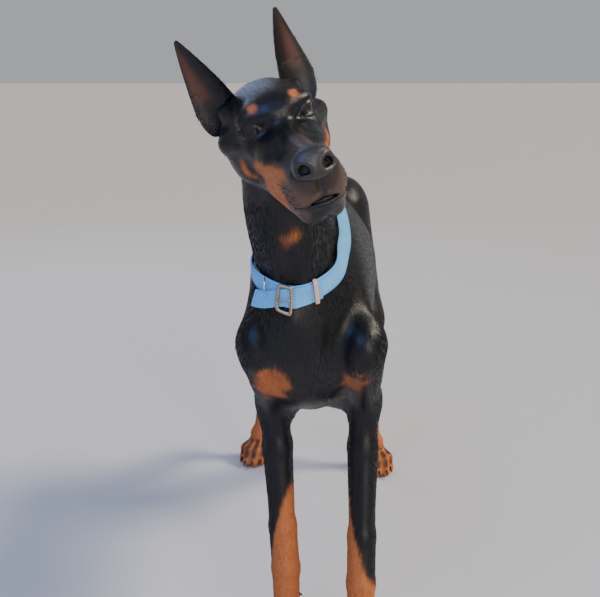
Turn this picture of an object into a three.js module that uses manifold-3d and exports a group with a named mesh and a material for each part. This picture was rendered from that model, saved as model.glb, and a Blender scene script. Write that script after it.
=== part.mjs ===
// A doberman pinscher standing square, reaching up to look with its head tilted, in a flat webbing collar.
// Millimetres, +Z up. The dog faces -Y and its left side is +X.
// The flesh is one smooth form made of tapered muscles and bones, and it is parted into nodes by thin cuts.
import * as THREE from 'three';
import { mergeVertices } from 'three/addons/utils/BufferGeometryUtils.js';
import Module from 'manifold-3d';

const wasm = await Module();
wasm.setup();

// Driving sizes of an adult male.
const WITHERS_HEIGHT = 720;
const SCALE = WITHERS_HEIGHT / 720;
const GAP = 0.3;

// How far a node's own muscles may swell past their own surface where they flow into a neighbour.
const FILLET = 12;
// How far the limbs of one pair stay from the trunk's middle plane.
const APART = 9;
const BODY_BLEND = 42;
const NECK_BLEND = 26;
const NECK_ROOT_BLEND = 30;
const HEAD_BLEND = 12;
const NECK_TO_HEAD_BLEND = 18;

const at = (x, y, z) => new THREE.Vector3(x, y, z).multiplyScalar(SCALE);
const mix = (a, b, t) => a.clone().lerp(b, t);

// The head's frame: the origin is midway between the eyes, +Y looks along the muzzle, +Z is the crown.
const HEAD_AT = at(-24, -227, 837);
const HEAD_SIZE = 1.08;
const HEAD_YAW = 15;
const HEAD_NOD = 7;
const HEAD_TILT = -20;
const headTurn = new THREE.Quaternion()
  .setFromEuler(new THREE.Euler(rad(HEAD_NOD), rad(HEAD_TILT), rad(HEAD_YAW), 'ZXY'))
  .multiply(new THREE.Quaternion().setFromAxisAngle(new THREE.Vector3(0, 0, 1), Math.PI));
const headBack = headTurn.clone().invert();
const inHead = (left, ahead, up) =>
  at(-left, ahead, up).multiplyScalar(HEAD_SIZE).applyQuaternion(headTurn).add(HEAD_AT);

function rad(degrees) {
  return THREE.MathUtils.degToRad(degrees);
}

// The joints of each leg. The feet stand where the dog has set them, so left and right differ.
const FORELEGS = {
  right: {
    side: -1,
    bladeTop: at(-16, 74, 668),
    shoulder: at(-56, -52, 522),
    elbow: at(-40, 46, 398),
    wrist: at(-22, 2, 140),
    foot: at(-19, -14, 0),
    toeOut: 6,
  },
  left: {
    side: 1,
    bladeTop: at(45, 78, 664),
    shoulder: at(88, -52, 520),
    elbow: at(97, 40, 404),
    wrist: at(93, -30, 134),
    foot: at(92, -48, 0),
    toeOut: 6,
  },
};
const HINDLEGS = {
  right: {
    side: -1,
    hip: at(-14, 520, 600),
    stifle: at(-64, 452, 415),
    hock: at(-76, 700, 186),
    foot: at(-103, 672, 0),
    toeOut: 18,
  },
  left: {
    side: 1,
    hip: at(88, 520, 600),
    stifle: at(134, 436, 415),
    hock: at(156, 654, 186),
    foot: at(177, 624, 0),
    toeOut: 12,
  },
};

// Smooth union of two signed distances over a band as wide as reach.
function smooth(a, b, reach) {
  const h = Math.max(reach - Math.abs(a - b), 0) / reach;
  return Math.min(a, b) - (h * h * reach) / 4;
}

const union = (reach, ...forms) => (p) =>
  forms.reduce((d, form) => smooth(d, form(p), reach), 1e3);

// A muscle or bone from a to b, as thick as ra and rb there, squeezed sideways by flat.
function taper(a, b, ra, rb, flat = 1) {
  const [ax, ay, az] = [a.x / flat, a.y, a.z];
  const [dx, dy, dz] = [b.x / flat - ax, b.y - ay, b.z - az];
  const length2 = dx * dx + dy * dy + dz * dz || 1;
  const [r0, r1] = [ra * SCALE, (rb - ra) * SCALE];
  return (p) => {
    const [x, y, z] = [p.x / flat - ax, p.y - ay, p.z - az];
    const t = Math.min(1, Math.max(0, (x * dx + y * dy + z * dz) / length2));
    return Math.hypot(x - dx * t, y - dy * t, z - dz * t) - r0 - r1 * t;
  };
}

// An egg of flesh round c with the half sizes x, y and z.
function lump(c, x, y, z) {
  const [rx, ry, rz] = [x * SCALE, y * SCALE, z * SCALE];
  const least = Math.min(rx, ry, rz);
  return (p) =>
    (Math.hypot((p.x - c.x) / rx, (p.y - c.y) / ry, (p.z - c.z) / rz) - 1) * least;
}

// The trunk from the breastbone to the buttocks: at each place along the back, the middle of the body,
// the top line, the height of the widest level, the underline and half the width.
const TRUNK = [
  // y, middle, top, widest, underline, half width
  [-108, -9, 588, 570, 552, 8],
  [-92, -7, 618, 560, 500, 42],
  [-50, 4, 664, 556, 436, 70],
  [15, 15, 700, 560, 396, 88],
  [100, 19, 712, 566, 372, 97],
  [200, 24, 700, 570, 376, 103],
  [300, 29, 692, 572, 402, 102],
  [400, 33, 690, 576, 452, 87],
  [470, 35, 690, 586, 490, 74],
  [540, 37, 682, 596, 508, 74],
  [600, 38, 656, 604, 528, 62],
  [628, 39, 618, 604, 586, 14],
];
const trunkAlong = new THREE.CubicInterpolant(
  TRUNK.map((row) => row[0] * SCALE),
  TRUNK.flatMap((row) => row.slice(1).map((size) => size * SCALE)),
  5,
);
const TRUNK_FRONT = TRUNK[0][0] * SCALE;
const TRUNK_BACK = TRUNK.at(-1)[0] * SCALE;

function trunk(p) {
  const y = THREE.MathUtils.clamp(p.y, TRUNK_FRONT, TRUNK_BACK);
  const [middle, top, widest, under, half] = trunkAlong.evaluate(y);
  const rise = p.z > widest ? top - widest : widest - under;
  const height = (p.z - widest) / rise;
  const narrowed = half * (1 - 0.26 * THREE.MathUtils.clamp(height, 0, 1) ** 2);
  const q = Math.hypot((p.x - middle) / narrowed, height);
  const d = (q - 1) * Math.min(half, rise);
  return d + Math.abs(p.y - y);
}

// The neck: its core, the crest above, the windpipe below, and the straps of muscle down both sides.
const neck = union(
  NECK_BLEND,
  taper(at(-4, 6, 636), at(-19, -58, 742), 56, 48),
  taper(at(-19, -58, 742), inHead(0, -84, -34), 48, 42),
  taper(at(14, 84, 656), at(-14, -10, 766), 45, 35),
  taper(at(-14, -10, 766), inHead(0, -94, -12), 35, 29),
  taper(at(-4, -48, 606), at(-17, -98, 706), 44, 35),
  taper(at(-17, -98, 706), inHead(0, -66, -52), 35, 29),
  taper(FORELEGS.right.shoulder.clone().add(at(22, 22, 50)), inHead(-26, -84, -34), 20, 14),
  taper(FORELEGS.left.shoulder.clone().add(at(-46, 22, 50)), inHead(24, -84, -34), 19, 14),
);

// The shoulder blade, upper arm and forearm down to the knuckles of the paw.
function foreleg(j) {
  const belly = mix(j.elbow, j.wrist, 0.26).add(at(0, 4, 0));
  const shank = mix(j.elbow, j.wrist, 0.74);
  const heel = mix(j.wrist, j.foot, 0.7);
  return union(
    22,
    taper(j.bladeTop, j.shoulder, 27, 40, 0.62),
    taper(j.shoulder, j.elbow, 41, 31, 0.82),
    taper(at(j.bladeTop.x + 12 * j.side, 84, 585), j.elbow, 52, 26, 0.62),
    taper(j.elbow, belly, 27, 27, 0.84),
    taper(belly, shank, 27, 21.5, 0.88),
    taper(shank, j.wrist, 21, 22),
    taper(j.wrist, heel, 21.5, 20),
    taper(mix(j.wrist, j.foot, 0.1).add(at(0, 12, 0)), mix(j.wrist, j.foot, 0.22).add(at(0, 15, 0)), 11, 10),
  );
}

// The thigh, second thigh, hock and the long rear pastern.
function hindleg(j) {
  const calf = mix(j.stifle, j.hock, 0.3).add(at(0, 16, 22));
  const point = j.hock.clone().add(at(0, 16, 20));
  const heel = mix(j.hock, j.foot, 0.72);
  return union(
    26,
    taper(j.hip, j.stifle, 86, 46, 0.62),
    taper(at(j.hip.x + 4 * j.side, 572, 590), at(j.stifle.x - 6 * j.side, 545, 436), 54, 36, 0.7),
    taper(at(j.stifle.x - 6 * j.side, 545, 436), mix(j.stifle, j.hock, 0.5).add(at(0, 22, 14)), 36, 22, 0.7),
    taper(j.stifle, calf, 44, 36, 0.66),
    taper(calf, mix(j.stifle, j.hock, 0.78), 36, 18, 0.74),
    taper(mix(j.stifle, j.hock, 0.7), j.hock, 19, 17),
    taper(mix(j.stifle, point, 0.62).add(at(0, 12, 14)), point, 11, 10, 0.9),
    taper(point, mix(j.hock, j.foot, 0.25), 12, 16, 0.9),
    taper(j.hock, heel, 17.5, 16, 0.92),
  );
}

const forelegs = { right: foreleg(FORELEGS.right), left: foreleg(FORELEGS.left) };
const hindlegs = { right: hindleg(HINDLEGS.right), left: hindleg(HINDLEGS.left) };

// A paw: arched toes, the pads under them, and the heel pad. Its frame is the foot's, +y to the toes.
function paw(j, hind) {
  const turn = rad(j.toeOut) * j.side;
  const spot = (x, ahead, z) =>
    at(x, -ahead, z).applyAxisAngle(new THREE.Vector3(0, 0, 1), turn).add(j.foot);
  const spread = hind ? 0.92 : 1;
  const toes = TOES.flatMap(([x, knuckle, tip]) => [
    taper(spot(x * 0.55 * spread, -8, 40), spot(x * 0.92 * spread, knuckle, 33), 12, 12.5),
    taper(spot(x * 0.92 * spread, knuckle, 31), spot(x * spread, tip, 11), 12, 10.5),
  ]);
  return { form: union(5, taper(spot(0, -16, 62), spot(0, -10, 34), 19, 20), ...toes,
    lump(spot(0, -10, 12), 23, 20, 13.5), lump(spot(0, 10, 17), 27, 28, 18)), spot };
}
// Sideways place of a toe, then how far ahead its knuckle and its tip lie.
const TOES = [
  [-25, 12, 24],
  [-9.5, 25, 40],
  [9.5, 25, 40],
  [25, 12, 24],
];
const paws = {
  forepaw_right: paw(FORELEGS.right, false),
  forepaw_left: paw(FORELEGS.left, false),
  hindpaw_right: paw(HINDLEGS.right, true),
  hindpaw_left: paw(HINDLEGS.left, true),
};

// The docked tail stands up a little from the croup.
const TAIL_ROOT = at(38, 584, 644);
const TAIL_TIP = at(40, 672, 676);
const tail = taper(TAIL_ROOT, TAIL_TIP, 27, 14);

// The eyes. The gaze leans outwards and the almond opening lies level with the head.
const EYE_RADIUS = 12;
const EYE = { side: 28, ahead: -8, up: 0 };
const LID = 1.9;

// The skull and jaws in the head's own frame, where p.x is the distance from the midline.
const h = (x, y, z) => at(x, y, z);
const skull = union(
  HEAD_BLEND,
  lump(h(0, -52, -3), 44, 60, 37),
  lump(h(0, -16, 12), 28, 34, 19),
  taper(h(0, -96, 4), h(0, -112, 4), 18, 11),
  taper(h(34, -62, 0), h(41, -68, 10), 14, 10),
  lump(h(25, -5, 12), 15, 13, 9),
  taper(h(35, 0, -19), h(51, -44, -16), 7, 9),
  taper(h(51, -44, -16), h(46, -74, -12), 9, 9),
  lump(h(40, -44, -36), 17, 34, 30),
  taper(h(0, -8, -14), h(0, 104, -19), 16, 12),
  taper(h(24, -36, -32), h(16, 24, -34), 24, 17),
  taper(h(16, 24, -34), h(11, 98, -33), 17, 15.5),
  taper(h(27, -36, -14), h(17, 28, -23), 17, 13),
  taper(h(20, 8, -50), h(16, 95, -48), 12, 13),
  taper(h(26, -56, -60), h(11, 82, -75), 14, 12.5),
  lump(h(0, 85, -59), 25, 23, 22),
  lump(h(EYE.side, EYE.ahead, EYE.up), EYE_RADIUS + LID, EYE_RADIUS + LID, EYE_RADIUS + LID),
);
const headLocal = new THREE.Vector3();

function head(p) {
  headLocal.copy(p).sub(HEAD_AT).applyQuaternion(headBack).divideScalar(HEAD_SIZE);
  headLocal.x = Math.abs(headLocal.x);
  return skull(headLocal) * HEAD_SIZE;
}

const trunkAndLimbs = union(
  BODY_BLEND,
  trunk,
  forelegs.right,
  forelegs.left,
  hindlegs.right,
  hindlegs.left,
);
const flesh = (p) =>
  smooth(smooth(smooth(trunkAndLimbs(p), neck(p), NECK_ROOT_BLEND), head(p), NECK_TO_HEAD_BLEND), tail(p), 24);

// How far it is from a point inside a form to its surface along a direction.
const MARCH = 4;
const HALVINGS = 14;
const probe = new THREE.Vector3();
function reach(form, from, along, most) {
  let far = MARCH;
  while (far < most && form(probe.copy(from).addScaledVector(along, far)) < 0) far += MARCH;
  let near = far - MARCH;
  if (far >= most) return most;
  for (let i = 0; i < HALVINGS; i++) {
    const middle = (near + far) / 2;
    if (form(probe.copy(from).addScaledVector(along, middle)) < 0) near = middle;
    else far = middle;
  }
  return near;
}

// A closed solid from a three.js geometry whose seams are merged.
function solid(geometry) {
  geometry.deleteAttribute('normal');
  geometry.deleteAttribute('uv');
  const merged = mergeVertices(geometry, 1e-4);
  const made = new wasm.Manifold(
    new wasm.Mesh({
      numProp: 3,
      vertProperties: merged.attributes.position.array,
      triVerts: new Uint32Array(merged.index.array),
    }),
  );
  if (made.volume() > 0) return made;
  const flipped = merged.index.array.slice();
  for (let i = 0; i < flipped.length; i += 3) [flipped[i], flipped[i + 1]] = [flipped[i + 1], flipped[i]];
  return new wasm.Manifold(
    new wasm.Mesh({
      numProp: 3,
      vertProperties: merged.attributes.position.array,
      triVerts: new Uint32Array(flipped),
    }),
  );
}

const largest = (made) =>
  made.decompose().reduce((best, piece) => (piece.volume() > best.volume() ? piece : best));

// Moves every vertex of a sphere, ring by ring, to where place(ring share, angle) puts it.
function shapedSphere(sides, rings, place) {
  const geometry = new THREE.SphereGeometry(1, sides, rings);
  const position = geometry.attributes.position;
  for (let i = 0; i < position.count; i++) {
    const ring = Math.floor(i / (sides + 1));
    const side = i % (sides + 1) % sides;
    const end = ring === 0 || ring === rings;
    const spot = place(THREE.MathUtils.clamp((ring - 1) / (rings - 2), 0, 1), (side / sides) * Math.PI * 2, end);
    position.setXYZ(i, spot.x, spot.y, spot.z);
  }
  return solid(geometry);
}

// A solid skinned over a form: flat rings along a path, each reaching out to the form's surface.
// A station is a point on the path, with the way that its ring faces and the ring's sideways direction.
function skinned(form, stations, sides, rings, most = 260 * SCALE, swell = 0) {
  const path = new THREE.CatmullRomCurve3(stations.map((s) => s.at), false, 'centripetal');
  const last = stations.length - 1;
  return shapedSphere(sides, rings, (share, angle, end) => {
    const along = share * last;
    const i = Math.min(last - 1, Math.floor(along));
    const centre = path.getPoint(share);
    if (end) return centre.addScaledVector(stations[share * last].face, share ? swell : -swell);
    const face = mix(stations[i].face, stations[i + 1].face, along - i).normalize();
    const sideways = mix(stations[i].sideways, stations[i + 1].sideways, along - i);
    sideways.addScaledVector(face, -sideways.dot(face)).normalize();
    const up = face.clone().cross(sideways);
    const out = sideways.multiplyScalar(Math.cos(angle)).addScaledVector(up, Math.sin(angle));
    if (share === 0) centre.addScaledVector(face, -swell);
    if (share === 1) centre.addScaledVector(face, swell);
    return centre.clone().addScaledVector(out, reach(form, centre, out, most) + swell);
  });
}

const X_AXIS = new THREE.Vector3(1, 0, 0);
const station = (point, face, sideways = X_AXIS) => ({ at: point, face, sideways });

// The cut under the collar, which parts neck and trunk, and the cut behind the skull.
const COLLAR_TILT = rad(31);
const COLLAR_AT = at(-3, -12, 663);
const collarFace = new THREE.Vector3(0, -Math.sin(COLLAR_TILT), Math.cos(COLLAR_TILT));
const NAPE_AT = inHead(0, -80, -32);
const headSideways = new THREE.Vector3(-1, 0, 0).applyQuaternion(headTurn).negate();
const napeFace = new THREE.Vector3(0, 0.86, 0.51).applyQuaternion(headTurn);
const leftward = X_AXIS.clone().lerp(inHead(1, 0, 0).sub(inHead(0, 0, 0)).normalize(), 0.5).normalize();
const headLeft = inHead(1, 0, 0).sub(inHead(0, 0, 0)).normalize();

const forward = new THREE.Vector3(0, -1, 0);
const trunkStation = (y, z, lean) =>
  station(
    at(trunkAlong.evaluate(y * SCALE)[0] / SCALE, y, z),
    new THREE.Vector3(0, -Math.cos(rad(lean)), Math.sin(rad(lean))),
  );

const trunkForm = (p) => Math.max(flesh(p), Math.min(trunk(p), neck(p)) - 1.5 * FILLET);
const limbForm = (limb) => (p) => Math.max(flesh(p), limb(p) - 2.5 * FILLET);
const middleAt = (y) => trunkAlong.evaluate(THREE.MathUtils.clamp(y, TRUNK_FRONT, TRUNK_BACK))[0];
const limbRegion = (limb, side) => (p) =>
  Math.max(limb(p) - FILLET, APART * SCALE - side * (p.x - middleAt(p.y)));

function makeTrunk() {
  const rings = [
    trunkStation(624, 603, 0),
    trunkStation(600, 600, 0),
    trunkStation(540, 596, 0),
    trunkStation(460, 590, 0),
    trunkStation(360, 575, 0),
    trunkStation(260, 560, 0),
    trunkStation(160, 560, 0),
    trunkStation(100, 568, 0),
    trunkStation(62, 590, 16),
    trunkStation(30, 615, 34),
    station(COLLAR_AT.clone().addScaledVector(collarFace, -GAP / 2), collarFace),
  ];
  return skinned(trunkForm, rings, 24, 25);
}

const upward = new THREE.Vector3(0, 0, 1);
const PAW_CUT = 76 * SCALE;
const levels = (points) => points.map((point) => station(point, upward));
const onLevel = (a, b, z) => mix(a, b, (z * SCALE - a.z) / (b.z - a.z));

function forelegPath(j) {
  return levels([
    onLevel(j.wrist, j.foot, 76).setZ(PAW_CUT + GAP / 2),
    j.wrist,
    mix(j.wrist, j.elbow, 0.4),
    mix(j.wrist, j.elbow, 0.8),
    at(j.elbow.x, 30, 425),
    at(mix(j.shoulder, j.bladeTop, 0.3).x, 8, 520),
    at(mix(j.shoulder, j.bladeTop, 0.7).x, 40, 610),
    at(j.bladeTop.x, 66, 678),
  ]);
}

function hindlegPath(j) {
  return levels([
    onLevel(j.hock, j.foot, 76).setZ(PAW_CUT + GAP / 2),
    mix(j.hock, j.foot, 0.25),
    j.hock.clone().add(at(0, 4, 8)),
    mix(j.hock, j.stifle, 0.4),
    mix(j.hock, j.stifle, 0.75),
    at(j.stifle.x, 478, 430),
    at(mix(j.stifle, j.hip, 0.5).x, 505, 515),
    at(j.hip.x, 530, 600),
    at(j.hip.x, 530, 655),
  ]);
}

function makeNeck() {
  const middle = at(-18, -66, 742);
  return skinned(
    flesh,
    [
      station(COLLAR_AT.clone().addScaledVector(collarFace, GAP / 2), collarFace),
      station(middle, mix(collarFace, napeFace, 0.5).normalize(), leftward),
      station(NAPE_AT.clone().addScaledVector(napeFace, -GAP / 2), napeFace, headLeft),
    ],
    28,
    12,
  );
}

// The head from the cut behind the skull to the nose, with rings that fan round the throat.
function headPath() {
  const place = (ahead, up, lean) =>
    station(
      inHead(0, ahead, up),
      new THREE.Vector3(0, Math.cos(rad(lean)), Math.sin(rad(lean))).applyQuaternion(headTurn),
      headLeft,
    );
  return [
    station(NAPE_AT.clone().addScaledVector(napeFace, GAP / 2), napeFace, headLeft),
    place(-62, -30, 20),
    place(-40, -30, 8),
    place(-12, -28, 0),
    place(20, -34, -4),
    place(52, -40, -12),
    place(80, -46, -22),
    place(97, -52, -27),
    place(101, -53, -27),
  ];
}
const headForm = (p) => Math.max(flesh(p), head(p) - 1.5 * FILLET);
const makeHead = (swell = 0) => skinned(headForm, headPath(), 32, 35, 260 * SCALE, swell);

const nodes = new THREE.Group();
function addNode(name, made, material) {
  const { vertProperties, triVerts } = made.getMesh();
  const geometry = new THREE.BufferGeometry();
  geometry.setAttribute('position', new THREE.BufferAttribute(new Float32Array(vertProperties), 3));
  geometry.setIndex(new THREE.BufferAttribute(new Uint32Array(triVerts), 1));
  geometry.computeVertexNormals();
  const mesh = new THREE.Mesh(geometry, material);
  mesh.name = name;
  nodes.add(mesh);
}

const blackCoat = new THREE.MeshStandardMaterial({ color: 0x0f1013, roughness: 0.42 });

const limbNodes = [
  ...Object.entries(FORELEGS).map(([name, j]) => [`foreleg_${name}`, forelegs[name], forelegPath(j), j.side]),
  ...Object.entries(HINDLEGS).map(([name, j]) => [`hindleg_${name}`, hindlegs[name], hindlegPath(j), j.side]),
];
const limbSolids = new Map();
let trunkSolid = makeTrunk();
let neckSolid = makeNeck();
for (const [name, limb, path, side] of limbNodes) {
  const skin = skinned(limbForm(limb), path, 16, 22);
  const region = (swell) => skinned(limbRegion(limb, side), path, 16, 18, 160 * SCALE, swell);
  trunkSolid = trunkSolid.subtract(region(GAP));
  neckSolid = neckSolid.subtract(region(GAP));
  limbSolids.set(name, largest(skin.intersect(region(0))));
}

const dark = new THREE.MeshStandardMaterial({ color: 0x17120f, roughness: 0.35 });
const rust = new THREE.MeshStandardMaterial({ color: 0x8a4a22, roughness: 0.55 });

// A horn that curves over and down to a blunt tip.
function claw(spot, x, ahead, z, length, thick, grow) {
  const heading = spot(0, 1, 0).sub(spot(0, 0, 0)).normalize();
  const sideways = heading.clone().cross(upward);
  const root = spot(x, ahead, z);
  return shapedSphere(6, 5, (share, angle, end) => {
    const bend = rad(12 + 50 * share);
    const run = heading.clone().multiplyScalar(Math.cos(bend)).addScaledVector(upward, -Math.sin(bend));
    const over = sideways.clone().cross(run).normalize();
    const centre = root.clone().addScaledVector(heading, share * length * 0.92 - grow * (share === 0));
    centre.addScaledVector(upward, -share * share * length * 0.46);
    if (end) return centre.addScaledVector(run, share ? grow + 0.6 : 0);
    const wide = thick * (1 - 0.62 * share) + grow;
    return centre
      .addScaledVector(sideways, Math.cos(angle) * wide * 0.62)
      .addScaledVector(over, Math.sin(angle) * wide);
  });
}

// The dewclaw hangs on the inner side of the pastern.
function dewclaw(j, grow) {
  const level = onLevel(j.wrist, j.foot, 98);
  const spot = (x, ahead, z) => at(-j.side * (14.5 + ahead), -6 + x, z).add(at(level.x, level.y, 98));
  return claw(spot, 0, 0, 4, CLAW_LENGTH * 0.8, CLAW_THICK * 0.8, grow);
}

const CLAW_LENGTH = 14 * SCALE;
const CLAW_THICK = 4.6 * SCALE;
const limbOf = { forepaw: forelegs, hindpaw: hindlegs };
for (const [name, { form, spot }] of Object.entries(paws)) {
  const [kind, side] = name.split('_');
  const j = kind === 'forepaw' ? FORELEGS[side] : HINDLEGS[side];
  const top = kind === 'forepaw' ? onLevel(j.wrist, j.foot, 76) : onLevel(j.hock, j.foot, 76);
  const limb = limbOf[kind][side];
  const skin = (p) => smooth(limb(p), form(p), 12);
  const lowest = spot(0, 2, 0);
  const path = levels([
    lowest,
    lowest.clone().setZ(4 * SCALE),
    lowest.clone().setZ(13 * SCALE),
    mix(lowest, top, 0.28).setZ(26 * SCALE),
    mix(lowest, top, 0.6).setZ(42 * SCALE),
    mix(lowest, top, 0.85).setZ(58 * SCALE),
    top.clone().setZ(PAW_CUT - GAP / 2),
  ]);
  let made = skinned(skin, path, 28, 11, 90 * SCALE);
  const dew = kind === 'forepaw';
  TOES.forEach(([x, , tip], i) => {
    const spread = dew ? 1 : 0.92;
    const horn = (grow) => claw(spot, x * spread, tip + 6, 15.5, CLAW_LENGTH, CLAW_THICK, grow);
    made = made.subtract(horn(GAP));
    addNode(`claw_${name}_${i + 1}`, horn(0), dark);
  });
  addNode(name, largest(made), rust);
  if (dew) {
    const hang = (grow) => dewclaw(FORELEGS[side], grow);
    limbSolids.set(`foreleg_${side}`, limbSolids.get(`foreleg_${side}`).subtract(hang(GAP)));
    addNode(`dewclaw_${side}`, hang(0), dark);
  }
}

// The docked tail: a stub that stands up a little, let into the croup.
function makeTail(grow) {
  const run = TAIL_TIP.clone().sub(TAIL_ROOT).normalize();
  const stub = (p) => Math.max(flesh(p), tail(p) - 4 * SCALE) - grow;
  return skinned(
    stub,
    [0.05, 0.35, 0.65, 0.9, 1.02, 1.1].map((t) =>
      station(mix(TAIL_ROOT, TAIL_TIP, t).addScaledVector(run, t ? grow * (t > 1) : 0), run)),
    14,
    9,
    60 * SCALE,
  );
}
addNode('tail', makeTail(0), blackCoat);
const tailCut = makeTail(GAP);
trunkSolid = trunkSolid.subtract(tailCut);
for (const side of ['right', 'left']) {
  limbSolids.set(`hindleg_${side}`, limbSolids.get(`hindleg_${side}`).subtract(tailCut));
}

// A rounded solid in the head's frame: half sizes, a squareness below 1, and an optional last shaping.
const skewed = (value, power) => Math.sign(value) * Math.abs(value) ** power;
function pebble(sides, rings, half, square, put) {
  const geometry = new THREE.SphereGeometry(1, sides, rings);
  const position = geometry.attributes.position;
  for (let i = 0; i < position.count; i++) {
    const v = new THREE.Vector3().fromBufferAttribute(position, i);
    const spot = put(skewed(v.x, square) * half[0], skewed(v.y, square) * half[1], skewed(v.z, square) * half[2]);
    position.setXYZ(i, spot.x, spot.y, spot.z);
  }
  return solid(geometry);
}

// The nose pad leans back, is widest below its middle and is notched by the nostrils and the midline.
const NOSE = { ahead: 107, up: -21 };
const makeNose = (grow) =>
  pebble(16, 10, [21 + grow, 12.5 + grow, 16 + grow], 0.8, (x, y, z) =>
    inHead(x * (1 - z * 0.008), NOSE.ahead + y - z * 0.12, NOSE.up + z));
const nostril = (side) =>
  pebble(8, 6, [5.6, 9, 5], 0.9, (x, y, z) =>
    inHead(side * (12 + x + Math.max(0, y) * 0.25), NOSE.ahead + 11.5 + y, NOSE.up - 1 + z - Math.abs(x) * 0.3));
const alarSlit = (side) =>
  pebble(8, 6, [7, 7, 1.1], 0.9, (x, y, z) =>
    inHead(side * (19.5 + x), NOSE.ahead + 7.5 + y - x * 0.5, NOSE.up - 6 + z - (x + 4) * 0.25));
const philtrum = pebble(6, 8, [0.7, 6, 17], 0.9, (x, y, z) =>
  inHead(x, NOSE.ahead + 10 + y + (z + 10) * 0.2, NOSE.up - 20 + z));

// An eyeball, and the almond between its lids, whose outer corner is drawn back and down.
const eyeAt = (side) => inHead(side * EYE.side, EYE.ahead, EYE.up);
const eyeball = (side, grow) =>
  pebble(16, 10, [EYE_RADIUS + grow, EYE_RADIUS + grow, EYE_RADIUS + grow], 1, (x, y, z) =>
    at(x, y, z).multiplyScalar(HEAD_SIZE).applyQuaternion(headTurn).add(eyeAt(side)));
const almond = (side) =>
  pebble(16, 8, [10.4, 12, 6], 1, (x, y, z) => {
    const taperOff = 1 - 0.45 * (x / 10.4) ** 2;
    return inHead(side * (EYE.side + x * 0.9 + 3), EYE.ahead + 11 + y * 0.8 - x * 0.55, EYE.up + z * taperOff - x * 0.16);
  });

// The slit of the closed mouth: up from the chin's front, along the lips and back to each corner.
const LIP_LINE = [
  [43, 6, -54],
  [39, 16, -58],
  [34, 34, -64],
  [31, 56, -66.5],
  [28, 78, -64],
  [21, 96, -60],
  [9, 106, -58.5],
];
const lipPath = new THREE.CatmullRomCurve3(
  [...LIP_LINE, [0, 107.5, -57.5], ...LIP_LINE.map(([x, y, z]) => [-x, y, z]).reverse()].map(
    ([x, y, z]) => new THREE.Vector3(x, y, z)),
  false,
  'centripetal',
);
const LIP_SLIT = { thick: 0.8, deep: 9, beyond: 5 };
const mouthSlit = shapedSphere(4, 20, (share, angle, end) => {
  const spot = lipPath.getPoint(share);
  const run = lipPath.getTangent(share);
  const outward = run.clone().cross(new THREE.Vector3(0, 0, 1)).normalize();
  if (outward.dot(new THREE.Vector3(spot.x, 40, 0)) < 0) outward.negate();
  if (!end) {
    spot.addScaledVector(outward, Math.cos(angle) > 0.5 ? LIP_SLIT.beyond : Math.cos(angle) < -0.5 ? -LIP_SLIT.deep : 0);
    spot.z += Math.sin(angle) * LIP_SLIT.thick;
  }
  return inHead(spot.x, spot.y, spot.z);
});

let headSolid = makeHead();
headSolid = headSolid.subtract(makeNose(GAP)).subtract(mouthSlit).subtract(philtrum);
const earSkinCut = makeHead(GAP);
for (const side of [1, -1]) headSolid = headSolid.subtract(eyeball(side, GAP)).subtract(almond(side));
addNode('head', largest(headSolid), blackCoat);
let nose = makeNose(0).subtract(philtrum);
for (const side of [1, -1]) nose = nose.subtract(nostril(side)).subtract(alarSlit(side));
addNode('nose', largest(nose), dark);
const glassy = new THREE.MeshStandardMaterial({ color: 0x2a170c, roughness: 0.08 });
for (const [name, side] of [['left', 1], ['right', -1]]) addNode(`eye_${name}`, eyeball(side, 0), glassy);

// A cropped ear: a thin cupped leaf that stands up from the side of the skull, its hollow to the front.
const EARS = { right: { side: -1, tip: [63, -82, 95] }, left: { side: 1, tip: [47, -78, 93] } };
// Along the ear: half its width and the depth of its cup.
const EAR_WIDTH = new THREE.LinearInterpolant([0, 0.15, 0.3, 0.5, 0.75, 0.92, 1],
  [20, 16, 27, 17, 27, 15, 21, 10, 12, 5, 6, 2, 2.5, 0.6], 2);
function makeEar({ side, tip }) {
  const spine = new THREE.CatmullRomCurve3([
    new THREE.Vector3(44, -66, -12),
    new THREE.Vector3(47, -70, 14),
    new THREE.Vector3(mixed(47, tip[0], 0.32), -76, mixed(14, tip[2], 0.36)),
    new THREE.Vector3(mixed(47, tip[0], 0.68), -80, mixed(14, tip[2], 0.7)),
    new THREE.Vector3(...tip),
  ]);
  return shapedSphere(16, 12, (share, angle, end) => {
    const centre = spine.getPoint(share);
    const run = spine.getTangent(share);
    const opens = new THREE.Vector3(0.62, 1, 0).addScaledVector(run, -0.1).normalize();
    opens.addScaledVector(run, -opens.dot(run)).normalize();
    const across = opens.clone().cross(run).normalize();
    const wide = EAR_WIDTH.evaluate(share)[0];
    const cup = EAR_WIDTH.evaluate(share)[1];
    const thick = 2.6 - 1.4 * share;
    if (!end) {
      const s = Math.cos(angle);
      centre.addScaledVector(across, s * wide);
      centre.addScaledVector(opens, -cup * (1 - s * s) - Math.sin(angle) * thick);
    } else centre.addScaledVector(opens, -cup).addScaledVector(run, share ? 1.5 : -1.5);
    return inHead(side * centre.x, centre.y, centre.z);
  });
}
function mixed(a, b, t) {
  return a + (b - a) * t;
}

for (const [name, ear] of Object.entries(EARS)) {
  addNode(`ear_${name}`, largest(makeEar(ear).subtract(earSkinCut)), blackCoat);
}

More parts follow.
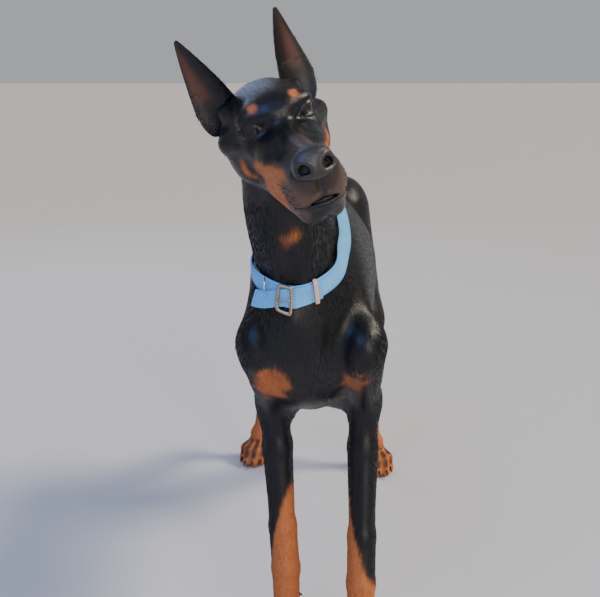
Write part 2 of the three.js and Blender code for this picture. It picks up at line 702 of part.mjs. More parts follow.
// The collar. A place on it is an angle round from the front to the left, a height on the band
// and a distance out from the coat.
const STRAP = { wide: 21, thick: 2.4, off: 1.6 };
const collarFront = new THREE.Vector3(0, -Math.cos(COLLAR_TILT), -Math.sin(COLLAR_TILT));
function onCollar(angle, up, out) {
  const way = X_AXIS.clone().multiplyScalar(Math.sin(angle)).addScaledVector(collarFront, Math.cos(angle));
  const level = (height) => COLLAR_AT.clone().addScaledVector(collarFace, height * SCALE);
  const below = reach(flesh, level(-STRAP.wide / 2), way, 200 * SCALE);
  const above = reach(flesh, level(STRAP.wide / 2), way, 200 * SCALE);
  const straight = mixed(below, above, up / STRAP.wide + 0.5);
  const far = Math.max(straight, reach(flesh, level(up), way, 200 * SCALE));
  return level(up).addScaledVector(way, far + (STRAP.off + out) * SCALE);
}
// The angle at which the collar's front is x to the left of the middle.
const FRONT_ANGLES = Array.from({ length: 49 }, (_, i) => (i - 24) * 0.045);
const frontAngle = new THREE.LinearInterpolant(
  FRONT_ANGLES.map((angle) => onCollar(angle, 0, 0).x),
  FRONT_ANGLES,
  1,
);
const angleAt = (x) => frontAngle.evaluate(x * SCALE)[0];

// A closed band or ring: a torus whose vertices are moved to where place(turn, corner) puts them.
function ringSolid(corners, steps, place) {
  const geometry = new THREE.TorusGeometry(1, 0.5, corners, steps);
  const position = geometry.attributes.position;
  for (let i = 0; i < position.count; i++) {
    const corner = Math.floor(i / (steps + 1)) % corners;
    const step = i % (steps + 1) % steps;
    const spot = place((step / steps) * Math.PI * 2, (corner / corners) * Math.PI * 2);
    position.setXYZ(i, spot.x, spot.y, spot.z);
  }
  return solid(geometry);
}
const halfOf = (value) => (value > 0 ? 0.5 : -0.5);
const makeStrap = (grow) =>
  ringSolid(4, 48, (turn, corner) =>
    onCollar(
      turn,
      halfOf(Math.sin(corner + 0.7)) * (STRAP.wide + 2 * grow),
      (halfOf(Math.cos(corner + 0.7)) + 0.5) * STRAP.thick + 2 * grow * halfOf(Math.cos(corner + 0.7)),
    ));

// The free end runs on through the keeper and the buckle and droops a little past it.
const TONGUE = { from: 27, to: -54, droop: 20, out: STRAP.thick + 1 };
const BUCKLE = { x: -19, tall: 29, long: 17, bar: 1.5 };
const KEEPER = { x: 20, long: 7, thick: 1.3 };
const tongueDrop = (x) => -TONGUE.droop * Math.max(0, (BUCKLE.x - x) / (BUCKLE.x - TONGUE.to)) ** 1.2;
const tongue = shapedSphere(4, 14, (share, angle, end) => {
  const x = mixed(TONGUE.from, TONGUE.to, share);
  const lift = 1.6 * Math.max(0, (BUCKLE.x - BUCKLE.long / 2 - 3 - x) / 24);
  const up = end ? 0 : halfOf(Math.sin(angle + 0.7)) * (STRAP.wide - 1);
  const out = end ? 0.5 : halfOf(Math.cos(angle + 0.7)) + 0.5;
  return onCollar(angleAt(x), up + tongueDrop(x), TONGUE.out + lift + out * STRAP.thick);
});
const OVER = TONGUE.out + STRAP.thick + 1;
const frame = ringSolid(5, 20, (turn, corner) => {
  const along = skewed(Math.cos(turn), 0.35) * (BUCKLE.long / 2 + Math.cos(corner) * BUCKLE.bar);
  const up = skewed(Math.sin(turn), 0.35) * (BUCKLE.tall / 2 + Math.cos(corner) * BUCKLE.bar);
  return onCollar(angleAt(BUCKLE.x + along), up, OVER + BUCKLE.bar + Math.sin(corner) * BUCKLE.bar);
});
const keeperSpot = (up) => onCollar(angleAt(KEEPER.x), up * STRAP.wide, 0);
const keeperUp = keeperSpot(0.5).sub(keeperSpot(-0.5)).normalize();
const keeperSide = onCollar(angleAt(KEEPER.x + 4), 0, 0).sub(onCollar(angleAt(KEEPER.x - 4), 0, 0));
keeperSide.addScaledVector(keeperUp, -keeperSide.dot(keeperUp)).normalize();
const keeperOut = onCollar(angleAt(KEEPER.x), 0, 1).sub(onCollar(angleAt(KEEPER.x), 0, 0)).normalize();
const keeperMiddle = mix(keeperSpot(-0.5), keeperSpot(0.5), 0.5);
const keeperRun = new THREE.CatmullRomCurve3(
  [
    [-STRAP.wide / 2 - 3.7, 0.6],
    [-STRAP.wide / 2 - 3.7, OVER],
    [-STRAP.wide / 2 - 2, OVER + 1.7],
    [0, OVER + 1.8],
    [STRAP.wide / 2 + 2, OVER + 1.7],
    [STRAP.wide / 2 + 3.7, OVER],
    [STRAP.wide / 2 + 3.7, 0.6],
  ].map(([up, out]) => new THREE.Vector3(0, up, out)),
  false,
  'centripetal',
);
const keeper = shapedSphere(4, 16, (share, angle, end) => {
  const spot = keeperRun.getPoint(share);
  const run = keeperRun.getTangent(share);
  const x = end ? 0 : halfOf(Math.sin(angle + 0.7)) * KEEPER.long;
  const deep = end ? 0 : halfOf(Math.cos(angle + 0.7)) * KEEPER.thick;
  return keeperMiddle
    .clone()
    .addScaledVector(keeperSide, x * SCALE)
    .addScaledVector(keeperUp, (spot.y + run.z * deep) * SCALE)
    .addScaledVector(keeperOut, (spot.z - run.y * deep) * SCALE);
});

// The D-ring stands out from the band above the free end, its straight bar under a loop of webbing.
const RING = { x: -44, up: 9.5, radius: 9.5, bar: 1.3, out: STRAP.thick + 2.4 };
const ringFoot = onCollar(angleAt(RING.x), 0, RING.out);
const dRing = ringSolid(6, 20, (turn, corner) => {
  const reachOut = Math.max(0, Math.cos(turn)) ** 0.8 * 1.2;
  const bulge = (RING.radius + Math.cos(corner) * RING.bar) * SCALE;
  const thicker = Math.cos(turn) > 0 ? 0 : Math.cos(corner) * -RING.bar * SCALE;
  return ringFoot
    .clone()
    .addScaledVector(X_AXIS, Math.sin(corner) * RING.bar * SCALE)
    .addScaledVector(collarFace, RING.up * SCALE + Math.sin(turn) * bulge)
    .addScaledVector(collarFront, reachOut * bulge + thicker);
});
const webbing = new THREE.MeshStandardMaterial({ color: 0x4f9fd0, roughness: 0.8 });
const metal = new THREE.MeshStandardMaterial({ color: 0xc9b48a, roughness: 0.3, metalness: 1 });
// The coat lies pressed flat under the band, and the flesh behind it is complete.
const pressed = makeStrap(GAP);
addNode('trunk', largest(trunkSolid.subtract(pressed)), blackCoat);
addNode('neck', largest(neckSolid.subtract(pressed)), blackCoat);
for (const [name, made] of limbSolids) addNode(name, largest(made.subtract(pressed)), blackCoat);
addNode('collar_strap', makeStrap(0), webbing);
addNode('collar_free_end', tongue, webbing);
addNode('collar_keeper', keeper, webbing);
addNode('collar_buckle', frame, metal);
addNode('collar_d_ring', dRing, metal);

// The origin is on the floor, under the middle of the whole dog.
nodes.updateMatrixWorld(true);
const whole = new THREE.Box3().setFromObject(nodes);
const middle = whole.getCenter(new THREE.Vector3());
for (const mesh of nodes.children) mesh.geometry.translate(-middle.x, -middle.y, -whole.min.z);

export default nodes;
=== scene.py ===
# A doberman pinscher as a still, life-size model: one glossy short coat over lean muscle, bare nose
# leather, wet eyes, horn claws, and a flat webbing collar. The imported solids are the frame.
import math

import bmesh
import bpy
import numpy as np
from mathutils import Matrix, Vector
from mathutils.bvhtree import BVHTree


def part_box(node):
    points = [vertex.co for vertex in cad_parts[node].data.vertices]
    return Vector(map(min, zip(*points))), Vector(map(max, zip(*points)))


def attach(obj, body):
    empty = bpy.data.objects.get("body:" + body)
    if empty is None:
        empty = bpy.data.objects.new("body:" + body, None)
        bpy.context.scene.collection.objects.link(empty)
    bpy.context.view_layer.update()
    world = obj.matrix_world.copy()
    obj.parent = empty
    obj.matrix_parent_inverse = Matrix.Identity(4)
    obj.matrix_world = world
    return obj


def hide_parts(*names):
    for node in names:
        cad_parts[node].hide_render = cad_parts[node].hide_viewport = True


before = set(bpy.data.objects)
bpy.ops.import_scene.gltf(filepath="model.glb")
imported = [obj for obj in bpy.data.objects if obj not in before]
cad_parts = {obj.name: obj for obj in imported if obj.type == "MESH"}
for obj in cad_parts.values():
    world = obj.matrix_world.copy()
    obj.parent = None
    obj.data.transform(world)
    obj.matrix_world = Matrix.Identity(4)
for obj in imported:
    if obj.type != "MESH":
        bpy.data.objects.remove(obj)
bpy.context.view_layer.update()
DOG = "root"
MM = 0.001

# The head's own frame. It starts midway between the eyes, and its directions are left, ahead and up.
# The dog looks along the camera with its head turned, nodded and tilted, as the photograph shows.
HEAD_AT = np.array([-24.0, -227.0, 837.0])
HEAD_SIZE = 1.08
HEAD_TURN = np.array(
    Matrix.Rotation(math.radians(15), 3, "Z")
    @ Matrix.Rotation(math.radians(7), 3, "X")
    @ Matrix.Rotation(math.radians(-20), 3, "Y")
    @ Matrix.Diagonal((1, -1, 1))
)
EYE_AT = (28.0, -8.0, 0.0)
EYE_RADIUS = 12.0


def in_head(left, ahead, up):
    return HEAD_AT + HEAD_TURN @ np.array([left, ahead, up], float) * HEAD_SIZE


def head_local(points):
    return (points - HEAD_AT) @ HEAD_TURN / HEAD_SIZE


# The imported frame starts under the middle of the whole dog. The left eye shows how far that is from
# the place between the forelegs that these sizes start from.
eye_low, eye_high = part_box("eye_left")
SHIFT = (np.array(eye_low) + np.array(eye_high)) / 2 / MM - in_head(*EYE_AT)
SHIFT[2] = 0.0


def placed(points):
    return (np.asarray(points, float) + SHIFT) * MM


def unplaced(points):
    return np.asarray(points, float) / MM - SHIFT


# The joints of the legs, in millimetres. The left feet stand further forward.
FORELEGS = {
    "right": dict(side=-1, blade=(-16, 74, 668), shoulder=(-56, -52, 522), elbow=(-40, 46, 398),
                  wrist=(-22, 2, 140), foot=(-19, -14, 0), toe_out=6),
    "left": dict(side=1, blade=(45, 78, 664), shoulder=(88, -52, 520), elbow=(97, 40, 404),
                 wrist=(93, -30, 134), foot=(92, -48, 0), toe_out=6),
}
HINDLEGS = {
    "right": dict(side=-1, hip=(-14, 520, 600), stifle=(-64, 452, 415), hock=(-76, 700, 186),
                  foot=(-103, 672, 0), toe_out=18),
    "left": dict(side=1, hip=(88, 520, 600), stifle=(134, 436, 415), hock=(156, 654, 186),
                 foot=(177, 624, 0), toe_out=12),
}
for joints in (*FORELEGS.values(), *HINDLEGS.values()):
    for name, value in joints.items():
        if isinstance(value, tuple):
            joints[name] = np.array(value, float)


# The flesh is a signed distance in millimetres: muscles and bones that taper, flowing together.
def blend(a, b, reach):
    h = np.maximum(reach - np.abs(a - b), 0) / reach
    return np.minimum(a, b) - h * h * reach / 4


def union(reach, *forms):
    def distance(p):
        d = forms[0](p)
        for form in forms[1:]:
            d = blend(d, form(p), reach)
        return d

    return distance


def taper(a, b, ra, rb, flat=1.0):
    squeeze = np.array([1 / flat, 1, 1])
    start = np.asarray(a, float) * squeeze
    run = np.asarray(b, float) * squeeze - start
    length2 = max(run @ run, 1e-6)

    def distance(p):
        w = p * squeeze - start
        t = np.clip(w @ run / length2, 0, 1)
        return np.linalg.norm(w - t[:, None] * run, axis=1) - (ra + (rb - ra) * t)

    return distance


def lump(centre, x, y, z):
    half = np.array([x, y, z], float)
    middle = np.asarray(centre, float)
    return lambda p: (np.linalg.norm((p - middle) / half, axis=1) - 1) * min(x, y, z)


def along(points, stops):
    """How far each point is from a line through the stops."""
    best = np.full(len(points), 1e3)
    for a, b in zip(stops, stops[1:]):
        a = np.asarray(a, float)
        run = np.asarray(b, float) - a
        t = np.clip((points - a) @ run / (run @ run), 0, 1)
        best = np.minimum(best, np.linalg.norm(points - a - t[:, None] * run, axis=1))
    return best


def crease(points, stops, wide, deep):
    """How far a crease along the stops presses the surface in; a negative depth raises a ridge."""
    return deep * np.exp(-((along(points, stops) / wide) ** 2))


def mid(a, b, t):
    return np.asarray(a, float) * (1 - t) + np.asarray(b, float) * t


# The trunk: place along the back, middle, top line, widest level, underline and half width.
TRUNK = np.array([
    (-108, -9, 588, 570, 552, 8),
    (-92, -7, 618, 560, 500, 42),
    (-50, 4, 664, 556, 436, 70),
    (15, 15, 700, 560, 396, 88),
    (100, 19, 712, 566, 372, 97),
    (200, 24, 700, 570, 376, 103),
    (300, 29, 692, 572, 402, 102),
    (400, 33, 690, 576, 452, 87),
    (470, 35, 690, 586, 490, 74),
    (540, 37, 682, 596, 508, 74),
    (600, 38, 656, 604, 528, 62),
    (628, 39, 618, 604, 586, 14),
], float)


def spline(x, xs, ys):
    """The same smooth line through a table of sizes that the solids use."""
    i = np.clip(np.searchsorted(xs, x, side="right") - 1, 0, len(xs) - 2)
    slopes = np.zeros(len(xs))
    slopes[1:-1] = (ys[2:] - ys[:-2]) / (xs[2:] - xs[:-2])
    slopes[0] = (ys[1] - ys[0]) / (xs[1] - xs[0])
    slopes[-1] = (ys[-1] - ys[-2]) / (xs[-1] - xs[-2])
    wide = xs[i + 1] - xs[i]
    t = (x - xs[i]) / wide
    return ((2 * t**3 - 3 * t**2 + 1) * ys[i] + (t**3 - 2 * t**2 + t) * wide * slopes[i]
            + (3 * t**2 - 2 * t**3) * ys[i + 1] + (t**3 - t**2) * wide * slopes[i + 1])


def trunk(p):
    y = np.clip(p[:, 1], TRUNK[0, 0], TRUNK[-1, 0])
    middle, top, widest, under, half = (spline(y, TRUNK[:, 0], TRUNK[:, k]) for k in range(1, 6))
    rise = np.where(p[:, 2] > widest, top - widest, widest - under)
    height = (p[:, 2] - widest) / rise
    narrowed = half * (1 - 0.26 * np.clip(height, 0, 1) ** 2)
    q = np.hypot((p[:, 0] - middle) / narrowed, height)
    return (q - 1) * np.minimum(half, rise) + np.abs(p[:, 1] - y)


right, left = FORELEGS["right"], FORELEGS["left"]
neck = union(
    26,
    taper((-4, 6, 636), (-19, -58, 742), 56, 48),
    taper((-19, -58, 742), in_head(0, -84, -34), 48, 42),
    taper((14, 84, 656), (-14, -10, 766), 45, 35),
    taper((-14, -10, 766), in_head(0, -94, -12), 35, 29),
    taper((-4, -48, 606), (-17, -98, 706), 44, 35),
    taper((-17, -98, 706), in_head(0, -66, -52), 35, 29),
    taper(right["shoulder"] + (22, 22, 50), in_head(-26, -84, -34), 20, 14),
    taper(left["shoulder"] + (-46, 22, 50), in_head(24, -84, -34), 19, 14),
)


def foreleg(j):
    belly = mid(j["elbow"], j["wrist"], 0.26) + (0, 4, 0)
    shank = mid(j["elbow"], j["wrist"], 0.74)
    heel = mid(j["wrist"], j["foot"], 0.7)
    return union(
        22,
        taper(j["blade"], j["shoulder"], 27, 40, 0.62),
        taper(j["shoulder"], j["elbow"], 41, 31, 0.82),
        taper((j["blade"][0] + 12 * j["side"], 84, 585), j["elbow"], 52, 26, 0.62),
        union(
            7,
            taper(j["elbow"], belly, 28, 28, 0.84),
            taper(belly, shank, 28, 23, 0.9),
            taper(shank, j["wrist"], 23, 22.5),
            taper(j["wrist"], heel, 22.5, 21),
            taper(mid(j["wrist"], j["foot"], 0.1) + (0, 12, 0),
                  mid(j["wrist"], j["foot"], 0.22) + (0, 15, 0), 11, 10),
        ),
    )


def hindleg(j):
    side = j["side"]
    calf = mid(j["stifle"], j["hock"], 0.3) + (0, 16, 22)
    point = j["hock"] + (0, 16, 20)
    heel = mid(j["hock"], j["foot"], 0.72)
    return union(
        26,
        taper(j["hip"], j["stifle"], 86, 46, 0.62),
        taper((j["hip"][0] + 4 * side, 572, 590), (j["stifle"][0] - 6 * side, 545, 436), 54, 36, 0.7),
        taper((j["stifle"][0] - 6 * side, 545, 436), mid(j["stifle"], j["hock"], 0.5) + (0, 22, 14), 36, 22, 0.7),
        taper(j["stifle"], calf, 44, 36, 0.66),
        taper(calf, mid(j["stifle"], j["hock"], 0.78), 36, 18, 0.74),
        union(
            12,
            taper(mid(j["stifle"], j["hock"], 0.7), j["hock"], 19.5, 18),
            taper(mid(j["stifle"], point, 0.62) + (0, 12, 14), point, 12, 11, 0.9),
            taper(point, mid(j["hock"], j["foot"], 0.25), 13, 17, 0.9),
            taper(j["hock"], heel, 18.5, 17, 0.92),
        ),
    )


TOES = ((-25, 12, 24), (-9.5, 25, 40), (9.5, 25, 40), (25, 12, 24))


def foot_spot(j, x, ahead, z):
    turn = math.radians(j["toe_out"]) * j["side"]
    y = -ahead
    return j["foot"] + (x * math.cos(turn) - y * math.sin(turn),
                        x * math.sin(turn) + y * math.cos(turn), z)


def paw(j, hind):
    spread = 0.92 if hind else 1.0
    spot = lambda x, ahead, z: foot_spot(j, x, ahead, z)
    forms = [taper(spot(0, -16, 62), spot(0, -10, 34), 19, 20),
             lump(spot(0, -10, 12), 23, 20, 13.5), lump(spot(0, 10, 17), 27, 28, 18)]
    for x, knuckle, tip in TOES:
        forms += [taper(spot(x * 0.55 * spread, -8, 40), spot(x * 0.92 * spread, knuckle, 33), 12, 12.5),
                  taper(spot(x * 0.92 * spread, knuckle, 31), spot(x * spread, tip, 11), 12, 10.5)]
    return union(5, *forms)


limbs = [foreleg(FORELEGS["right"]), foreleg(FORELEGS["left"]),
         hindleg(HINDLEGS["right"]), hindleg(HINDLEGS["left"])]
paws = [paw(FORELEGS["right"], False), paw(FORELEGS["left"], False),
        paw(HINDLEGS["right"], True), paw(HINDLEGS["left"], True)]
tail = taper((38, 584, 644), (40, 672, 676), 27, 14)


# The skull and jaws, in the head's own frame and alike on both sides.
LID = 1.9
skull = union(
    12,
    lump((0, -52, -3), 44, 60, 37),
    lump((0, -16, 12), 28, 34, 19),
    taper((0, -96, 4), (0, -112, 4), 18, 11),
    taper((34, -62, 0), (41, -68, 10), 14, 10),
    lump((25, -5, 12), 15, 13, 9),
    taper((35, 0, -19), (51, -44, -16), 7, 9),
    taper((51, -44, -16), (46, -74, -12), 9, 9),
    lump((40, -44, -36), 17, 34, 30),
    taper((0, -8, -14), (0, 104, -19), 16, 12),
    taper((24, -36, -32), (16, 24, -34), 24, 17),
    taper((16, 24, -34), (11, 98, -33), 17, 15.5),
    taper((27, -36, -14), (17, 28, -23), 17, 13),
    taper((20, 8, -50), (16, 95, -48), 12, 13),
    taper((26, -56, -60), (11, 82, -75), 14, 12.5),
    lump((0, 85, -59), 25, 23, 22),
    lump(EYE_AT, EYE_RADIUS + LID, EYE_RADIUS + LID, EYE_RADIUS + LID),
)
LIP_LINE = ((43, 6, -54), (39, 16, -58), (34, 34, -64), (31, 56, -66.5), (28, 78, -64),
            (21, 96, -60), (9, 106, -58.5), (0, 108, -58))
UPPER_LIP = tuple((x, y, z + 4.6) for x, y, z in LIP_LINE)
LOWER_LIP = tuple((x, y, z - 4.2) for x, y, z in LIP_LINE)
NOSE_AT = (0, 107, -21)
GAZE_OUT = math.radians(20)


def eye_local(q):
    """From the eye's middle: how far along the lids to the outer corner, up, and out along the gaze."""
    w = q - np.array(EYE_AT)
    along_lid = w[:, 0] * math.cos(GAZE_OUT) - w[:, 1] * math.sin(GAZE_OUT)
    out = w[:, 0] * math.sin(GAZE_OUT) + w[:, 1] * math.cos(GAZE_OUT)
    return along_lid, w[:, 2], out


def lid_gap(q):
    """Millimetres outside the almond between the lids; the outer corner is drawn a little up."""
    a, up, out = eye_local(q)
    a = a - 0.5
    half = np.where(up > 0.03 * a, 4.4, 3.4)
    edge = half * (1 - np.clip(np.abs(a) / 10.8, 0, 1.4) ** 2.2)
    return np.abs(up - 0.03 * a) - edge, a, out


def face(q):
    """The bare skull's distance, with the folds that the living skin adds."""
    d = skull(q)
    d += crease(q, ((0, 14, 20), (0, -90, 38)), 8, 0.8)
    d += crease(q, ((0, 0, 18), (0, 34, 2)), 13, -1.0)
    d += crease(q, ((11, 2, 10), (14, 22, -2)), 12, -1.6)
    d += crease(q, ((20, 16, -4), (23, 30, -12), (19, 56, -18)), 8, 1.2)
    d += crease(q, ((40, -8, -2), (52, -30, 0), (54, -52, 4)), 9, 1.4)
    d += crease(q, ((42, 10, -24), (48, -22, -30), (46, -58, -56)), 8, 1.2)
    d += crease(q, ((30, 26, -28), (32, 60, -40)), 10, -0.9)
    d += crease(q, LIP_LINE, 1.7, 5.0)
    d += crease(q, UPPER_LIP, 3.6, -1.5)
    d += crease(q, LOWER_LIP, 3.2, -1.5)
    d += crease(q, ((46, 2, -50), (52, -8, -42)), 3.5, 1.4)
    d += crease(q, ((0, 121, -34), (0, 113, -44), (0, 109, -56)), 2.6, 1.5)
    d += crease(q, ((36, 12, -62), (33, 40, -68), (29, 66, -68)), 10, -1.2)
    d += crease(q, ((9, 116, -41), (18, 107, -46), (26, 90, -46)), 8, -1.0)
    d += crease(q, ((0, 108, -66), (0, 104, -74)), 9, -1.2)
    for row, drop in enumerate((-39, -45, -51)):
        for k in range(4):
            spot = (25 - 1.6 * k + row, 62 + 9 * k, drop + 0.6 * k)
            d += crease(q, (spot, (spot[0], spot[1] + 0.5, spot[2])), 1.7, -0.8)
    gap, a, out = lid_gap(q)
    near = (out > 0) & (np.abs(a) < 20)
    above = 0.5 + 0.5 * np.tanh((q[:, 2] - EYE_AT[2]) / 2)
    d += np.where(near, -0.6 * np.exp(-(((gap - 1.4) / 1.4) ** 2)), 0)
    d += np.where(near, (0.15 + 0.4 * above) * np.exp(-(((gap - 5.0) / 2.0) ** 2)), 0)
    ball = np.linalg.norm(q - np.array(EYE_AT), axis=1)
    pocket = np.maximum(np.maximum(gap, (EYE_RADIUS - 1.0) - ball), -out)
    return -blend(-d, pocket, 0.8)


def head(p):
    q = head_local(p)
    q[:, 0] = np.abs(q[:, 0])
    return face(q) * HEAD_SIZE


# What shows of the muscles on the body: the hollows and ridges between them, on both sides.
def body_creases(p):
    d = np.zeros(len(p))
    for j in FORELEGS.values():
        s = j["side"]
        blade, point, elbow, wrist = j["blade"], j["shoulder"], j["elbow"], j["wrist"]
        d += crease(p, (blade + (22 * s, 4, -8), point + (26 * s, 22, 12)), 12, -2.6)
        d += crease(p, (blade + (26 * s, 34, -46), elbow + (30 * s, 8, 70), elbow + (24 * s, -22, 36)), 12, 4.6)
        d += crease(p, (point + (22 * s, -6, -12), elbow + (22 * s, -34, 20)), 10, 3.4)
        d += crease(p, (elbow + (16 * s, 34, 12), elbow + (10 * s, 30, -14)), 8, -2.6)
        d += crease(p, (elbow + (24 * s, 0, -26), mid(elbow, wrist, 0.6) + (17 * s, 6, 0)), 8, 2.4)
        d += crease(p, (elbow + (-20 * s, -10, -40), mid(elbow, wrist, 0.7) + (-14 * s, -4, 0)), 8, 1.8)
        d += crease(p, (mid(elbow, wrist, 0.72) + (0, 18, 0), wrist + (0, 20, 14)), 5, -1.2)
        d += crease(p, (wrist + (14, 6, -16), wrist + (-14, 6, -16)), 6, 1.2)
    for j in HINDLEGS.values():
        s = j["side"]
        hip, stifle, hock = j["hip"], j["stifle"], j["hock"]
        d += crease(p, (hip + (34 * s, -10, -6), mid(hip, stifle, 0.5) + (42 * s, 26, -8),
                        stifle + (24 * s, 60, 10)), 15, 4.2)
        d += crease(p, (hip + (30 * s, 62, -34), stifle + (18 * s, 100, 56)), 13, 4.0)
        d += crease(p, (hip + (20 * s, -84, 72), hip + (34 * s, -62, 58)), 14, -2.0)
        d += crease(p, (stifle + (8 * s, -30, 14), stifle + (4 * s, -26, -20)), 10, -2.0)
        d += crease(p, (stifle + (24 * s, 24, -30), mid(stifle, hock, 0.72) + (14 * s, 0, 4)), 10, 3.0)
        d += crease(p, (mid(stifle, hock, 0.5) + (0, 30, 22), hock + (0, -4, 26)), 7, 4.0)
        d += crease(p, (mid(stifle, hock, 0.62) + (0, 40, 30), hock + (0, 22, 20)), 5, -1.6)
        d += crease(p, (hock + (16 * s, -4, 0), hock + (16 * s, 4, -14)), 8, -1.4)
    d += crease(p, ((14, 90, 722), (26, 250, 706), (34, 420, 700), (38, 560, 690)), 9, 1.8)
    for s, shoulder in ((-1, right["shoulder"]), (1, left["shoulder"])):
        chest = -9 if s < 0 else -5
        d += crease(p, (in_head(s * 14, -40, -74), (-15 + s * 26, -106, 700), (chest + s * 20, -110, 596)),
                    13, -5.4)
        d += crease(p, (in_head(s * 44, -86, -40), (-10 + s * 50, -50, 716), (s * 50, -62, 612)), 14, 4.8)
        d += crease(p, (in_head(s * 36, -100, -10), (-12 + s * 46, -8, 740), (s * 44, 20, 680)), 14, -2.2)
        d += crease(p, ((chest + s * 46, -92, 560), (chest + s * 40, -84, 500), (s * 34, -60, 440)), 11, 4.4)
        for rib in range(7):
            y = 150 + rib * 34
            d += crease(p, ((24 + s * 92, y - 34, 650), (26 + s * 104, y, 560), (24 + s * 88, y - 20, 470)),
                        9, 1.3)
    d += crease(p, ((-14, -112, 690), (-9, -106, 606)), 10, 4.4)
    d += crease(p, ((-7, -106, 590), (-5, -100, 520), (4, -70, 450)), 13, 5.4)
    return d


def flesh(p):
    body = trunk(p)
    low = p[:, 2] < 740
    for limb in limbs:
        body[low] = blend(body[low], limb(p[low]), 26)
    body = blend(body, neck(p), 30)
    low = p[:, 2] < 110
    if low.any():
        feet = body[low]
        for foot in paws:
            feet = blend(feet, foot(p[low]), 12)
        body[low] = np.maximum(feet, -p[low, 2])
    low = p[:, 2] < 860
    body[low] += body_creases(p[low])
    front = (p[:, 1] < -40) & (p[:, 2] > 700)
    if front.any():
        body[front] = blend(body[front], head(p[front]), 14)
    back = p[:, 1] > 500
    body[back] = blend(body[back], tail(p[back]), 24)
    return body


# The skin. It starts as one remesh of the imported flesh, and is drawn onto the living form, finer and
# finer towards the face and toes. It lies inside the solids by the depth of the short coat.
COAT_DEPTH = 1.4
FLESH = ["trunk", "neck", "head", "tail", "foreleg_left", "foreleg_right", "hindleg_left",
         "hindleg_right", "forepaw_left", "forepaw_right", "hindpaw_left", "hindpaw_right"]
EARS = ["ear_left", "ear_right"]


def copy_of(nodes, name):
    """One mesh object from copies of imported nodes, with their loose corners merged."""
    made = bmesh.new()
    for node in nodes:
        made.from_mesh(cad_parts[node].data)
    bmesh.ops.remove_doubles(made, verts=made.verts, dist=0.01 * MM)
    return as_object(made, name)


def as_object(made, name):
    mesh = bpy.data.meshes.new(name)
    made.to_mesh(mesh)
    made.free()
    piece = bpy.data.objects.new(name, mesh)
    bpy.context.scene.collection.objects.link(piece)
    return piece


def apply_modifiers(piece):
    seen = piece.evaluated_get(bpy.context.evaluated_depsgraph_get())
    mesh = bpy.data.meshes.new_from_object(seen)
    piece.modifiers.clear()
    old = piece.data
    piece.data = mesh
    bpy.data.meshes.remove(old)
    mesh.name = piece.name


def smooth_shading(piece):
    piece.data.polygons.foreach_set("use_smooth", [True] * len(piece.data.polygons))


def settle(made, form, depth, rounds, wanted=None):
    """Moves vertices along the form's slope until they lie on it, at a depth under its surface."""
    verts = list(made.verts)
    p = unplaced([v.co for v in verts])
    if wanted is not None:
        chosen = np.flatnonzero(wanted(p))
        verts = [verts[i] for i in chosen]
        p = p[chosen]
    step = 0.35
    for _ in range(rounds):
        d = form(p) + depth
        slope = np.stack([form(p + np.eye(3)[k] * step) + depth - d for k in range(3)], axis=1) / step
        steep = np.maximum((slope**2).sum(1), 0.09)
        p -= np.clip(d / steep, -4, 4)[:, None] * slope
        p[:, 2] = np.maximum(p[:, 2], 0.0)
    for v, co in zip(verts, placed(p)):
        v.co = co


def refine(made, wanted):
    """Halves the edges of every face whose middle is wanted."""
    chosen = wanted(unplaced([f.calc_center_median() for f in made.faces]))
    edges = {e for f, take in zip(made.faces, chosen) if take for e in f.edges}
    bmesh.ops.subdivide_edges(made, edges=list(edges), cuts=1, use_grid_fill=True)


skin = copy_of(FLESH + ["nose", "eye_left", "eye_right"], "skin")
swell = skin.modifiers.new("close the cuts", "DISPLACE")
swell.strength = 0.0005
swell.mid_level = 0
whole = skin.modifiers.new("one skin", "REMESH")
whole.mode = "VOXEL"
whole.voxel_size = 0.0062
apply_modifiers(skin)

made = bmesh.new()
made.from_mesh(skin.data)
bmesh.ops.smooth_vert(made, verts=made.verts, factor=0.5, use_axis_x=True, use_axis_y=True, use_axis_z=True)
settle(made, flesh, COAT_DEPTH, 2)
bmesh.ops.smooth_vert(made, verts=made.verts, factor=0.5, use_axis_x=True, use_axis_y=True, use_axis_z=True)
settle(made, flesh, COAT_DEPTH, 2)


def on_head(points, behind=-110.0):
    q = head_local(points)
    return ((q[:, 1] > behind) & (np.abs(q[:, 0]) < 85) & (q[:, 2] > -110)
            & (points[:, 1] < -60) & (points[:, 2] > 700))


def by_eye_or_lip(points):
    q = head_local(points)
    q[:, 0] = np.abs(q[:, 0])
    gap, a, out = lid_gap(q)
    eye = (gap < 6) & (np.abs(a) < 15) & (out > 4)
    return on_head(points) & (eye | (along(q, LIP_LINE) < 6) | (along(q, ((0, 118, -36), (0, 108, -60))) < 6))


def on_toes_or_head(points):
    return on_head(points) | (points[:, 2] < 52)


for wanted in (on_toes_or_head, lambda p: on_head(p, -60), by_eye_or_lip):
    refine(made, wanted)
    settle(made, flesh, COAT_DEPTH, 2, wanted)
bmesh.ops.triangulate(made, faces=[f for f in made.faces if len(f.verts) > 4])
made.normal_update()
made.to_mesh(skin.data)
made.free()

# The cropped ears: thin cupped leaves of gristle that grow out of the skin, hollow side forward.
EAR_LIFT = 2.0
EAR_TIPS = {-1: (63, -82, 95), 1: (47, -78, 93)}
EAR_SHARE = (0, 0.15, 0.3, 0.5, 0.75, 0.92, 1)
EAR_HALF_WIDTH = (20, 27, 27, 21, 12, 6, 2.5)
EAR_CUP = (16, 17, 15, 10, 5, 2, 0.6)


